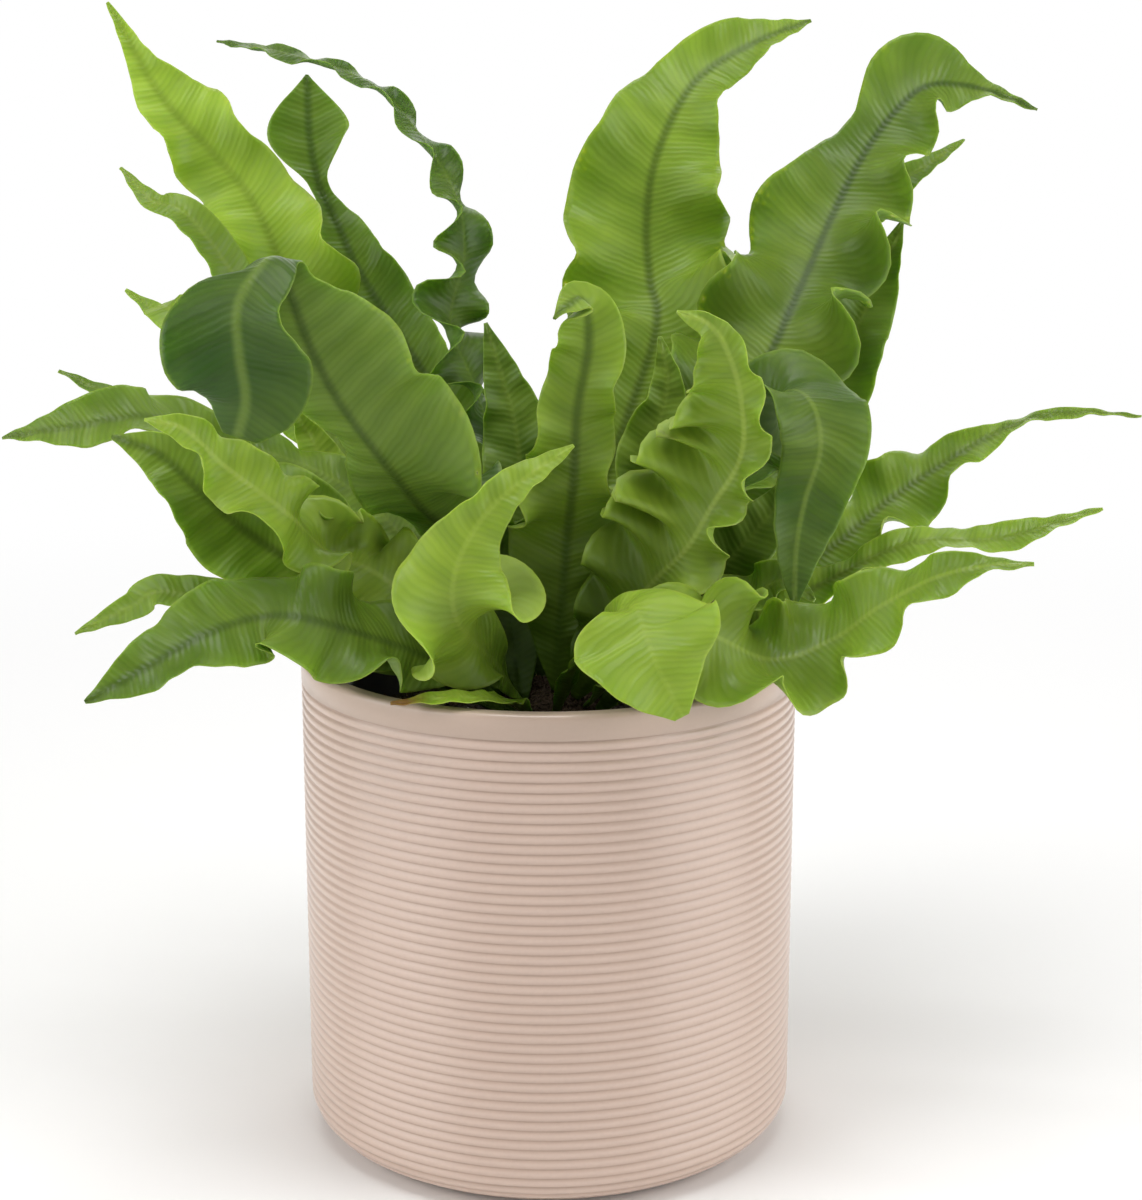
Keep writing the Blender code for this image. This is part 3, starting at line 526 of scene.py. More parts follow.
def strewTree():
    tree, start, end = startTree("strewGrains", [
        ("Grain", "NodeSocketObject"), ("Density", "NodeSocketFloat"), ("Smallest", "NodeSocketFloat"),
        ("Largest", "NodeSocketFloat"), ("Seed", "NodeSocketInt"), ("Finish", "NodeSocketMaterial"),
    ])
    top = addNode(tree, "GeometryNodeInputNamedAttribute", [("Name", "strewn")], data_type="FLOAT")
    spots = addNode(tree, "GeometryNodeDistributePointsOnFaces", [
        (0, start.outputs["Geometry"]), ("Selection", mathNode(tree, "GREATER_THAN", top.outputs[0], 0.5)),
        ("Density", start.outputs["Density"]), ("Seed", start.outputs["Seed"]),
    ])
    grain = addNode(tree, "GeometryNodeObjectInfo", [("Object", start.outputs["Grain"])])
    links = [("Min", (0, 0, 0)), ("Max", (6.28, 6.28, 6.28)), ("Seed", start.outputs["Seed"])]
    turn = addNode(tree, "FunctionNodeRandomValue", links, data_type="FLOAT_VECTOR")
    size = addNode(tree, "FunctionNodeRandomValue", data_type="FLOAT")
    tree.links.new(start.outputs["Smallest"], size.inputs[2])
    tree.links.new(start.outputs["Largest"], size.inputs[3])
    tree.links.new(start.outputs["Seed"], size.inputs["Seed"])
    laid = addNode(tree, "GeometryNodeInstanceOnPoints", [
        (0, spots.outputs[0]), ("Instance", grain.outputs["Geometry"]), ("Rotation", turn.outputs[0]),
        ("Scale", size.outputs[1]),
    ])
    finishTree(tree, laid, start.outputs["Finish"], end)
    return tree


def soilBed(soil):  # its bumpy top carries the strewn attribute
    draw = np.random.RandomState(soil["seed"])
    segments, rings = soil["segments"], soil["rings"]
    turn = np.arange(segments) * 2 * math.pi / segments
    rows, flags = [], []
    middle = ((soil["lowRadius"] + soil["radius"]) / 2, (soil["low"] + soil["top"]) / 2)
    for radius, height in [(soil["lowRadius"], soil["low"]), middle, (soil["radius"], soil["top"] - 0.002)]:
        rows.append([(radius * math.cos(a), radius * math.sin(a), height) for a in turn])
        flags.append(0.0)
    phases = draw.rand(12, 3) * 6.28
    waves = draw.uniform(40, 420, (12, 2))
    for ring in range(1, rings + 1):
        radius = soil["radius"] * (1 - ring / (rings + 1.0)) ** 0.9
        row = []
        for a in turn:
            x, y = radius * math.cos(a), radius * math.sin(a)
            bumps = sum(math.sin(x * w[0] + p[0]) * math.sin(y * w[1] + p[1])
                        for w, p in zip(waves, phases)) / 12
            row.append((x, y, soil["top"] - 0.0016 + soil["rough"] * (1.3 * bumps + 0.8 * draw.rand())))
        rows.append(row)
        flags.append(1.0)
    mesh = gridMesh("soilBed", np.array(rows), closedAcross=True)
    closeMesh(mesh)
    markPoints(mesh, "strewn", np.repeat(flags, segments))
    return mesh


strewings = {  # density per square metre, sizes in metres
    "soilCrumbs": {
        "density": 330000, "small": 0.0007, "large": 0.0024, "stretch": (1, 0.8, 0.7), "scale": 300.0,
        "light": (0.075, 0.048, 0.028), "dark": (0.012, 0.008, 0.005), "seed": 3,
    },
    "barkBits": {
        "density": 14000, "small": 0.0025, "large": 0.0065, "stretch": (1, 0.45, 0.2), "scale": 250.0,
        "light": (0.17, 0.095, 0.048), "dark": (0.05, 0.027, 0.014), "seed": 5,
    },
    "perliteGrains": {
        "density": 9000, "small": 0.0010, "large": 0.0028, "stretch": (1, 0.85, 0.8), "scale": 500.0,
        "light": (0.80, 0.79, 0.75), "dark": (0.52, 0.50, 0.46), "seed": 8,
    },
}


def makeSoil(soil):
    bed = soilBed(soil)
    peat = soilMaterial()
    pieceFromMesh("pottingSoil", bed, peat, "potting_soil").data.shade_smooth()
    tree = strewTree()
    for name, kind in strewings.items():
        finish = crumbMaterial(name + "Finish", kind["light"], kind["dark"], kind["scale"])
        grain = lump(name + "One", finish, kind["stretch"], kind["seed"])
        piece = linked(name, bed.copy())
        runNodes(piece, tree, {
            "Grain": grain, "Density": kind["density"], "Smallest": kind["small"], "Largest": kind["large"],
            "Seed": kind["seed"], "Finish": finish,
        })
        bpy.data.objects.remove(grain, do_unlink=True)
        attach(piece, "root")


makeSoil(soil)
print("soil")

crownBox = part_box("crown")
crown = {
    "radius": (crownBox[1][0] - crownBox[0][0]) / 2,
    "low": crownBox[0][2],
    "high": crownBox[1][2],
    "scaleDensity": 1500000,
    "scaleSmall": 0.0016,
    "scaleLarge": 0.0040,
    "seed": 21,
}


def makeCrown(crown):
    material, tree, shader = newMaterial("crownBark")
    place = objectPlace(tree)
    fibre = noise(tree, place, 700.0, 5.0)
    bark = mixColour(tree, fibre, (0.018, 0.011, 0.006), (0.10, 0.06, 0.03))
    tree.links.new(bark, shader.inputs["Base Color"])
    shader.inputs["Roughness"].default_value = 0.85
    roughen(tree, shader, fibre, 0.7, 0.0006)
    rows = []
    tall = crown["high"] - crown["low"]
    for step in range(0, 15):
        share = step / 15
        reach = (crown["radius"] - 0.0006) * math.sqrt(1 - share**2)
        rows.append((reach, crown["low"] + 0.0002 + tall * 0.93 * share))
    mesh = latheMesh("crownDome", rows, 48)
    dome = pieceFromMesh("crownDome", mesh, material, "crown")
    bare = crown["low"] + 0.001
    markPoints(mesh, "strewn", [1.0 if point.co.z > bare else 0.0 for point in mesh.vertices])
    scale = lump("crownScaleOne", material, (0.28, 0.12, 1.0), 2)
    piece = linked("crownScales", mesh.copy())
    runNodes(piece, strewTree(), {
        "Grain": scale, "Density": crown["scaleDensity"], "Smallest": crown["scaleSmall"],
        "Largest": crown["scaleLarge"], "Seed": crown["seed"], "Finish": material,
    })
    bpy.data.objects.remove(scale, do_unlink=True)
    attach(piece, "root")
    return dome


makeCrown(crown)
print("crown")

# Numbers are in millimetres. Root is the azimuth and height where the stalk leaves the crown, and route is
# the rest of the midrib. Facing is where the upper face looks at even stations; left and right are the half
# widths there. A ruffle is its number of waves, its swing in degrees and its start as a share of a wave.

blade = {
    "rows": 132,
    "columns": 12,         # each side of the midrib
    "thick": 0.55,
    "edgeThick": 0.22,
    "ribUp": 0.30,         # midrib standing on the upper face
    "ribDown": 0.75,       # and on the lower
    "ribWide": 1.1,
    "quilt": 0.30,         # soft waves between groups of side veins
    "quiltStep": 8.2,
    "crease": 0.035,       # and the finer ones
    "creaseStep": 3.5,
    "rootGap": 0.8,
    "crownRadius": 16.0,
    "crownHeight": 12.7,
    "soilLevel": 119.0,
}

fronds = {}
fronds["tall_left"] = {
    "root": (141, 127), "age": 0.08, "slot": "leaf_young",
    "route": [(-41, 37, 174), (-67, 48, 215), (-86, 57, 258), (-99, 60, 275), (-115, 61, 293),
        (-130, 66, 319)],
    "facing": [(0, -1, 0.4), (0.1, -1, 0.3), (0.2, -1, 0.2)],
    "left": (1.3, 4, 7, 10, 13, 15, 17, 19, 18, 14, 11, 4, 0.5),
    "right": (1.3, 4, 7, 10, 13, 16, 18, 21, 17, 13, 14, 5, 0.5),
    "ruffleLeft": (6, 72, 0.33), "ruffleRight": (6, 65, 0.62),
}
fronds["ruffled_arch"] = {
    "root": (111, 126), "age": 0.85, "slot": "leaf_dark",
    "route": [(-10, 17, 170), (-21, 33, 207), (-29, 36, 228), (-25, 40, 247), (-27, 43, 263),
        (-36, 47, 279), (-51, 54, 295), (-73, 62, 303), (-99, 72, 308)],
    "facing": [(-0.3, -1, 0.2), (0.9, -0.5, 0.2), (0.9, -0.5, 0.3), (0.5, -0.3, 0.9), (0.1, -0.5, 1)],
    "left": (1.2, 2.5, 4, 8, 12, 14, 12, 9, 7, 5, 4, 4, 0.5),
    "ruffleLeft": (12, 60, 0.1), "ruffleRight": (12, 60, 0.35),
}
fronds["back_left"] = {
    "root": (121, 124.5), "age": 0.62, "slot": "leaf_dark",
    "route": [(-20, 45, 180), (-56, 72, 236), (-65, 80, 253), (-71, 85, 265), (-74, 89, 279),
        (-75, 94, 298)],
    "facing": [(0, -1, 0.3), (0, -1, 0.2)],
    "left": (1.3, 5, 9, 12, 13, 13, 12, 10, 11, 7, 3, 13, 0.5),
    "right": (1.3, 5, 9, 12, 13, 13, 12, 11, 12, 8, 3, 13, 0.5),
    "ruffleLeft": (5, 40, 0.3), "ruffleRight": (5, 40, 0.8),
}
fronds["left_sliver"] = {
    "root": (157, 124), "age": 0.45,
    "route": [(-56, 31, 185), (-99, 37, 253), (-115, 41, 263), (-125, 49, 272)],
    "facing": [(0, -0.4, 1), (0, -0.8, 1)],
    "left": (1.3, 4, 6, 7, 7, 6, 0.5),
    "ruffleLeft": (5, 30, 0.3), "ruffleRight": (5, 30, 0),
}
fronds["left_short"] = {
    "root": (172, 124), "age": 0.4,
    "route": [(-61, 26, 190), (-103, 17, 231), (-114, 30, 233), (-122, 33, 238)],
    "facing": [(0, -0.5, 1), (0, -0.8, 1)],
    "left": (1.3, 4, 6, 8, 8, 7, 0.5),
    "ruffleLeft": (4, 30, 0.3), "ruffleRight": (4, 30, 0),
}
fronds["folded_left"] = {
    "root": (236, 128), "age": 0.6, "faceAge": 0.92,
    "route": [(-14, 7, 164), (-31, -14, 180), (-42, -38, 199), (-53, -44, 216), (-60, -48, 231),
        (-64, -54, 245), (-67, -60, 255), (-71, -68, 252), (-75, -72, 244), (-75, -72, 233),
        (-74, -70, 221), (-77, -66, 211)],
    "facing": [(0.1, 1, 0.4), (0.2, 1, 0.5), (0.3, 1, 0.4), (0.3, 1, 0.4), (0.25, 1, 0.5), (0.2, 1, 0.5),
        (0.1, 1, 0.5), (-0.1, 1, 0.5), (-0.3, 0.2, 1), (-0.3, -1, 0.3), (-0.2, -1, 0.1), (0, -1, 0)],
    "left": (1.3, 7, 12, 14, 19, 24, 26, 26, 26, 25, 18, 7, 10, 13, 17, 5),
    "right": (1.3, 6, 10, 13, 14, 14, 13, 13, 12, 10, 9, 4, 9, 19, 17, 4),
    "ruffleLeft": (6, 38, 0.2), "ruffleRight": (5, 42, 0.7),
    "restLeft": (10, 10, 10, 10, 5, -10, -10, -5), "restRight": (10, 10, 10, 10, 5, -10, -10, -5),
}
fronds["inner_back"] = {
    "root": (103, 129.5), "age": 0.7, "slot": "leaf_dark",
    "route": [(-6, 11, 161), (-9, 15, 197), (-13, 18, 214), (-18, 20, 230)],
    "facing": [(0, -1, 0.3), (0, -1, 0.3)],
    "left": (1.3, 6, 10, 12, 10, 6, 0.5),
    "ruffleLeft": (5, 30, 0.3), "ruffleRight": (5, 25, 0),
}
fronds["left_reaching"] = {
    "root": (189, 127.5), "age": 0.55,
    "route": [(-54, -5, 170), (-95, -11, 201), (-107, -19, 209), (-124, -27, 208), (-143, -36, 206)],
    "facing": [(0, -0.5, 1), (0, -0.8, 1), (0, -0.9, 1)],
    "left": (1.3, 5, 8, 10, 10, 9, 11, 8, 0.5),
    "ruffleLeft": (5, 40, 0.3), "ruffleRight": (5, 35, 0),
}
fronds["left_upper"] = {
    "root": (176, 125), "age": 0.6,
    "route": [(-51, 9, 180), (-103, 4, 203), (-120, 6, 210), (-137, 8, 218)],
    "facing": [(0, -0.5, 1), (0, -0.7, 1), (0, -0.7, 1)],
    "left": (1.3, 4, 6, 8, 7, 5, 0.5),
    "ruffleLeft": (5, 30, 0.3), "ruffleRight": (5, 35, 0),
}
fronds["left_twisted"] = {
    "root": (209, 128.5), "age": 0.2,
    "route": [(-43, -30, 166), (-59, -24, 172), (-68, -46, 188), (-84, -44, 200), (-93, -48, 210),
        (-103, -50, 213)],
    "facing": [(0.2, -1, 0.8), (0.2, -1, 0.8), (0.2, -1, 0.9)],
    "left": (1.3, 7, 12, 16, 14, 11, 8, 0.5),
    "ruffleLeft": (7, 75, 0.1), "ruffleRight": (7, 75, 0.62),
}
fronds["left_veined"] = {
    "root": (201, 125.5), "age": 0.5,
    "route": [(-48, -18, 155), (-79, -22, 176), (-91, -33, 190), (-102, -34, 201), (-115, -33, 206)],
    "facing": [(0, -1, 0.6), (0, -1, 0.6)],
    "left": (1.3, 8, 15, 18, 18, 14, 9, 0.5),
    "ruffleLeft": (5, 45, 0.1), "ruffleRight": (5, 50, 0.6),
}
fronds["left_inner"] = {
    "root": (162, 127.5), "age": 0.25, "slot": "leaf_young",
    "route": [(-38, 15, 171), (-58, 15, 180), (-68, 18, 197), (-73, 13, 207)],
    "facing": [(0.3, -1, 0.3), (0.3, -1, 0.3)],
    "left": (1.3, 4, 7, 9, 7, 0.5),
    "ruffleLeft": (4, 30, 0.1), "ruffleRight": (4, 30, 0.6),
}
fronds["left_drooping"] = {
    "root": (238, 124), "age": 0.62,
    "route": [(-30, -38, 146), (-59, -63, 163), (-73, -63, 164), (-86, -74, 162), (-100, -80, 155),
        (-114, -86, 148)],
    "facing": [(0, -0.6, 1), (0, -0.8, 0.8), (0, -0.9, 0.8), (0, -0.9, 0.8)],
    "left": (1.3, 6, 10, 15, 15, 13, 9, 0.5),
    "ruffleLeft": (5, 45, 0.1), "ruffleRight": (5, 45, 0.6),
}
fronds["left_low"] = {
    "root": (217, 123.5), "age": 0.5,
    "route": [(-46, -36, 147), (-96, -45, 166), (-109, -48, 163), (-123, -52, 157)],
    "facing": [(0, -0.6, 1), (0, -0.8, 0.8)],
    "left": (1.3, 4, 6, 7, 6, 0.5),
    "ruffleLeft": (4, 35, 0.1), "ruffleRight": (4, 35, 0.6),
}
fronds["front_curled"] = {
    "root": (245, 126), "age": 0.22, "slot": "leaf_young",
    "route": [(-16, -38, 147), (-22, -58, 160), (-24, -64, 170), (-21, -64, 182), (-12, -60, 194),
        (7, -54, 207)],
    "facing": [(0.3, -0.6, 1), (0.3, -0.8, 0.7), (0.15, -1, 0.3), (0.2, -1, 0.4), (0.1, -1, 0.6)],
    "left": (1.3, 3, 5, 8, 12, 17, 18, 13, 8, 6, 4, 0.5),
    "right": (1.3, 3, 6, 12, 20, 24, 22, 14, 8, 5, 3, 0.5),
    "ruffleLeft": (4, 65, 0.1), "ruffleRight": (3, 50, 0.6),
}
fronds["front_rim"] = {
    "root": (279, 125.5), "age": 0.24, "slot": "leaf_young",
    "route": [(9, -38, 148), (21, -64, 167), (25, -74, 162), (28, -80, 155), (34, -82, 143)],
    "facing": [(0, -0.4, 1), (0, -0.8, 0.8), (0.1, -1, 0.4)],
    "left": (1.3, 3, 4, 4, 4, 5, 8, 20, 13, 2),
    "right": (1.3, 3, 4, 5, 5, 5, 7, 19, 14, 2),
    "ruffleLeft": (4, 28, 0.1), "ruffleRight": (4, 28, 0.6),
}
fronds["front_upright"] = {
    "root": (284, 130), "age": 0.32, "slot": "leaf_young",
    "route": [(5, -14, 172), (7, -22, 192), (8, -27, 212), (11, -30, 230), (9, -33, 242), (2, -40, 238)],
    "facing": [(0, -1, 0.3), (0.1, -1, 0.2), (0, -1, 0.3), (0, -0.3, 1)],
    "left": (1.3, 9, 15, 17, 13, 10, 9, 0.5),
    "right": (1.3, 8, 12, 13, 11, 10, 9, 0.5),
    "ruffleLeft": (5, 45, 0.1), "ruffleRight": (5, 45, 0.6),
}
fronds["ruffled_upright"] = {
    "root": (308, 128), "age": 0.34, "slot": "leaf_young",
    "route": [(26, -27, 162), (37, -35, 176), (44, -38, 189), (50, -42, 200), (51, -46, 211),
        (48, -50, 226), (42, -52, 237), (33, -54, 241)],
    "facing": [(0.2, -1, 0.5), (-0.2, -1, 0.4), (-0.4, -1, 0.3), (-0.5, -1, 0.3), (-0.3, -1, 0.5)],
    "left": (1.3, 10, 17, 24, 26, 24, 18, 9, 0.5),
    "right": (1.3, 7, 12, 14, 10, 8, 7, 5, 0.5),
    "ruffleLeft": (11, 50, 0.1), "ruffleRight": (9, 75, 0.6),
}
fronds["inner_right"] = {
    "root": (14, 130), "age": 0.5, "slot": "leaf_dark",
    "route": [(26, 13, 169), (29, 4, 196), (33, 4, 214), (31, 4, 228)],
    "facing": [(0, -1, 0.3), (0, -1, 0.3)],
    "left": (1.3, 7, 11, 11, 7, 0.5),
    "ruffleLeft": (5, 50, 0.1), "ruffleRight": (5, 40, 0.6),
}
fronds["tall_centre"] = {
    "root": (75, 128), "age": 0.38,
    "route": [(12, 34, 169), (31, 55, 221), (30, 64, 238), (29, 68, 253), (31, 69, 271), (38, 74, 288),
        (47, 79, 299), (63, 83, 308), (79, 86, 314)],
    "facing": [(0, -1, 0.3), (0, -1, 0.3), (0, -1, 0.3), (0, -1, 0.5), (-0.3, -0.9, 0.9)],
    "left": (1.3, 7, 12, 17, 22, 25, 27, 26, 24, 19, 13, 10, 0.5),
    "right": (1.3, 7, 12, 17, 22, 25, 28, 26, 24, 17, 10, 7, 0.5),
    "ruffleLeft": (7, 40, 0.1), "ruffleRight": (7, 42, 0.6),
}
fronds["tall_right"] = {
    "root": (38, 128), "age": 0.62,
    "route": [(33, 23, 172), (61, 33, 214), (72, 44, 234), (84, 60, 257), (94, 68, 275), (104, 72, 288),
        (114, 74, 295), (129, 74, 294), (146, 72, 288)],
    "facing": [(-0.2, -1, 0.4), (-0.2, -1, 0.4), (-0.3, -1, 0.4), (-0.2, -0.9, 0.8), (0, -0.7, 1)],
    "left": (1.3, 7, 12, 16, 21, 26, 28, 26, 22, 24, 16, 12, 18, 6, 0.5),
    "right": (1.3, 7, 12, 16, 21, 22, 20, 26, 21, 25, 20, 17, 14, 5, 0.5),
    "ruffleLeft": (6, 50, 0.1), "ruffleRight": (9, 65, 0.6),
}
fronds["back_right"] = {
    "root": (45, 123), "age": 0.55,
    "route": [(44, 42, 178), (89, 86, 245), (102, 94, 261), (117, 100, 270), (130, 106, 278)],
    "facing": [(-0.2, -1, 0.4), (-0.2, -1, 0.5)],
    "left": (1.3, 6, 10, 14, 16, 11, 6, 0.5),
    "ruffleLeft": (6, 45, 0.1), "ruffleRight": (6, 50, 0.6),
}
fronds["right_shaded"] = {
    "root": (27, 123), "age": 0.6, "slot": "leaf_dark",
    "route": [(44, 29, 169), (83, 50, 208), (93, 60, 226), (101, 68, 242), (107, 74, 255)],
    "facing": [(-0.2, -1, 0.3), (-0.2, -1, 0.3)],
    "left": (1.3, 7, 13, 17, 16, 12, 8, 0.5),
    "ruffleLeft": (5, 35, 0.1), "ruffleRight": (5, 40, 0.6),
}
fronds["right_hanging"] = {
    "root": (351, 128.5), "age": 0.78, "slot": "leaf_dark",
    "route": [(43, -9, 179), (54, -6, 201), (64, -16, 215), (70, -28, 214), (72, -34, 203),
        (68, -36, 189), (66, -36, 176), (66, -35, 160)],
    "facing": [(-0.6, -0.3, 1), (-0.6, -0.3, 1), (-0.2, 0, 1), (0.3, -0.6, 1), (0.4, -1, 0.4),
        (0.2, -1, 0.2), (0.1, -1, 0.1)],
    "left": (1.3, 7, 11, 12, 11, 14, 16, 12, 9, 0.5),
    "right": (1.3, 7, 11, 12, 14, 19, 16, 10, 7, 0.5),
    "ruffleLeft": (4, 32, 0.1), "ruffleRight": (4, 32, 0.6),
}
fronds["right_inner"] = {
    "root": (4, 125.5), "age": 0.7, "slot": "leaf_dark",
    "route": [(38, 2, 151), (55, 1, 170), (64, 2, 181), (69, 3, 191)],
    "facing": [(-0.2, -1, 0.4), (-0.2, -1, 0.4)],
    "left": (1.3, 6, 12, 12, 7, 0.5),
    "ruffleLeft": (4, 30, 0.1), "ruffleRight": (4, 30, 0.6),
}
fronds["right_reaching"] = {
    "root": (11, 122.5), "age": 0.42,
    "route": [(46, 8, 147), (79, 12, 165), (97, 16, 179), (115, 18, 191), (136, 20, 202), (154, 22, 204),
        (170, 22, 203)],
    "facing": [(0, -0.8, 0.8), (-0.1, -0.8, 0.8), (-0.1, -0.7, 0.9), (0, -0.5, 1)],
    "left": (1.3, 6, 10, 14, 16, 14, 9, 3, 2, 0.5),
    "ruffleLeft": (7, 60, 0.1), "ruffleRight": (7, 60, 0.6),
}
fronds["right_slim"] = {
    "root": (352, 123), "age": 0.2,
    "route": [(50, -12, 146), (87, -8, 166), (104, -10, 173), (125, -12, 174), (152, -14, 183)],
    "facing": [(0, -0.4, 1), (0, -0.5, 1)],
    "left": (1.3, 5, 7, 7, 6, 6, 5, 0.5),
    "ruffleLeft": (5, 35, 0.1), "ruffleRight": (5, 35, 0.6),
}
fronds["right_ruffled"] = {
    "root": (318, 126), "age": 0.4,
    "route": [(33, -55, 159), (58, -52, 150), (75, -50, 155), (86, -56, 165), (99, -62, 174),
        (111, -66, 178), (123, -68, 179)],
    "facing": [(0, -0.7, 1), (-0.1, -0.8, 0.8), (-0.1, -0.8, 0.8), (0, -0.6, 1)],
    "left": (1.3, 5, 9, 15, 18, 15, 11, 6, 0.5),
    "ruffleLeft": (7, 65, 0.1), "ruffleRight": (7, 60, 0.6),
}
fronds["right_curled"] = {
    "root": (332, 123.5), "age": 0.55, "slot": "leaf_dark",
    "route": [(36, -16, 148), (55, -20, 159), (64, -25, 165), (72, -30, 161)],
    "facing": [(-0.2, -0.8, 0.8), (-0.1, -0.8, 1)],
    "left": (1.3, 5, 9, 10, 8, 0.5),
    "ruffleLeft": (5, 60, 0.1), "ruffleRight": (5, 60, 0.6),
}
fronds["yellowing"] = {
    "root": (259, 122), "age": 0.1, "slot": "leaf_young", "browning": 0.66,
    "route": [(-8, -38, 134), (-13, -58, 141), (-27, -64, 143), (-40, -66, 142)],
    "facing": [(0, -0.3, 1), (0, -0.3, 1)],
    "left": (1.5, 2, 4, 4, 3, 0.5),
    "ruffleLeft": (3, 20, 0.1), "ruffleRight": (3, 20, 0.6),
}
fronds["rear"] = {
    "root": (94, 124.5), "age": 0.45, "slot": "leaf_dark",
    "route": [(-2, 41, 161), (-3, 66, 184), (-4, 94, 188), (-4, 118, 178), (-2, 136, 160)],
    "facing": [(0, -1, 0.6), (0, -0.6, 1), (0, 0, 1), (0.1, 0.6, 0.8)],
    "left": (1.3, 7, 13, 16, 13, 0.5),
    "ruffleLeft": (5, 40, 0.1), "ruffleRight": (5, 45, 0.6),
}
fronds["rear_right"] = {
    "root": (62, 122.5), "age": 0.55, "slot": "leaf_dark",
    "route": [(24, 40, 156), (44, 70, 174), (60, 97, 176), (73, 120, 163)],
    "facing": [(0, -1, 0.8), (0, -0.4, 1), (0, 0, 1), (0.2, 0.5, 0.8)],
    "left": (1.3, 7, 12, 13, 10, 0.5),
    "ruffleLeft": (5, 45, 0.1), "ruffleRight": (5, 40, 0.6),
}
fronds["rear_left"] = {
    "root": (135, 121), "age": 0.5, "slot": "leaf_dark",
    "route": [(-32, 38, 146), (-48, 76, 172), (-62, 104, 176), (-74, 126, 164)],
    "facing": [(0, -1, 0.8), (0, -0.4, 1), (0, 0, 1), (-0.2, 0.5, 0.8)],
    "left": (1.3, 7, 12, 13, 10, 0.5),
    "ruffleLeft": (5, 45, 0.1), "ruffleRight": (5, 40, 0.6),
}
fronds["rear_low"] = {
    "root": (108, 121), "age": 0.6, "slot": "leaf_dark",
    "route": [(-14, 44, 144), (-22, 74, 152), (-28, 102, 144), (-31, 122, 124)],
    "facing": [(0, -1, 1), (0, -0.2, 1), (0, 0.3, 1), (0, 0.8, 0.5)],
    "left": (1.3, 6, 11, 12, 9, 0.5),
    "ruffleLeft": (5, 40, 0.1), "ruffleRight": (5, 40, 0.6),
}
for frond in fronds.values():  # a frond with one side given is alike on both
    frond.setdefault("slot", "leaf_green")
    frond.setdefault("right", frond["left"])
    frond.setdefault("ruffleRight", frond["ruffleLeft"])


def through(values, stations):  # smooth curve through even values, read from 0 to 1
    rows = np.asarray(values, float)
    if rows.ndim == 1:
        rows = rows[:, None]
    last = len(rows) - 1
    rows = np.vstack([2 * rows[0] - rows[1], rows, 2 * rows[-1] - rows[-2]])
    place = np.clip(stations, 0, 1) * last
    start = np.minimum(place.astype(int), last - 1)
    f = (place - start)[:, None]
    a, b, c, d = rows[start], rows[start + 1], rows[start + 2], rows[start + 3]
    return 0.5 * (2 * b + (c - a) * f + (2 * a - 5 * b + 4 * c - d) * f**2 + (3 * b - a - 3 * c + d) * f**3)


def unit(vectors):
    return vectors / np.maximum(np.linalg.norm(vectors, axis=-1, keepdims=True), 1e-12)


def midribFrame(route, facing, stations):  # points, upper face's way, right margin's way, length
    dense = through(route, np.linspace(0, 1, 401))
    steps = np.linalg.norm(np.diff(dense, axis=0), axis=1)
    length = np.concatenate([[0], np.cumsum(steps)]) / steps.sum()
    even = np.linspace(0, 1, 401)
    line = np.stack([np.interp(even, length, dense[:, k]) for k in range(3)], -1)
    slope = unit(np.gradient(line, axis=0))
    centre = np.stack([np.interp(stations, even, line[:, k]) for k in range(3)], -1)
    forward = unit(np.stack([np.interp(stations, even, slope[:, k]) for k in range(3)], -1))
    looks = through(facing, stations)
    up = unit(looks - (looks * forward).sum(1, keepdims=True) * forward)
    return centre, up, np.cross(forward, up), steps.sum()


def liftAngles(ruffle, rest, stations):
    waves, swing, start = ruffle
    warped = stations + 0.012 * np.sin(2 * np.pi * (1.7 * stations + start))
    fade = np.clip(np.sin(np.pi * stations), 0, 1) ** 0.5
    vary = 1 + 0.25 * np.sin(2 * np.pi * (2.3 * stations + start * 1.7))
    wave = swing * fade * vary * np.sin(2 * np.pi * (waves * warped + start))
    return np.radians(through(rest, stations)[:, 0] + wave)


def halfSection(width, lift, share):
    parts = 12
    across = (np.arange(parts) + 0.5) / parts * share
    turn = lift[:, None] * across[None, :] ** 0.8
    step = width * share / parts
    return np.cos(turn).sum(1) * step, np.sin(turn).sum(1) * step


def rootPoint(azimuth, height):
    share = (height - blade["soilLevel"]) / blade["crownHeight"]
    radius = blade["crownRadius"] * math.sqrt(1.0 - share * share) + blade["rootGap"]
    angle = math.radians(azimuth)
    return (radius * math.cos(angle), radius * math.sin(angle), height)


def bladeSurface(frond):  # middle surface, and how far along and across each point lies
    stations = np.linspace(0, 1, blade["rows"] + 1)
    route = [rootPoint(*frond["root"])] + frond["route"]
    centre, up, right, length = midribFrame(route, frond["facing"], stations)
    columns, across, shares = [centre], [np.zeros(len(stations))], [0.0]
    for step in range(1, blade["columns"] + 1):
        share = (step / blade["columns"]) ** 1.15
        for side, way in (("left", -1), ("right", 1)):
            title = side.capitalize()
            width = np.maximum(through(frond[side], stations)[:, 0], 0.5)
            lift = liftAngles(frond["ruffle" + title], frond.get("rest" + title, (15, 15)), stations)
            out, raised = halfSection(width, lift, share)
            edge = centre + way * out[:, None] * right + raised[:, None] * up
            at = 0 if way < 0 else len(columns)
            columns.insert(at, edge)
            across.insert(at, way * width * share)
            shares.insert(at, way * share)
    points = np.stack(columns, 1)
    lateral = np.stack(across, 1)
    share = np.repeat(np.array(shares)[None, :], len(stations), 0)
    along = np.repeat((stations * length)[:, None], points.shape[1], 1)
    return points, along, lateral, share, length


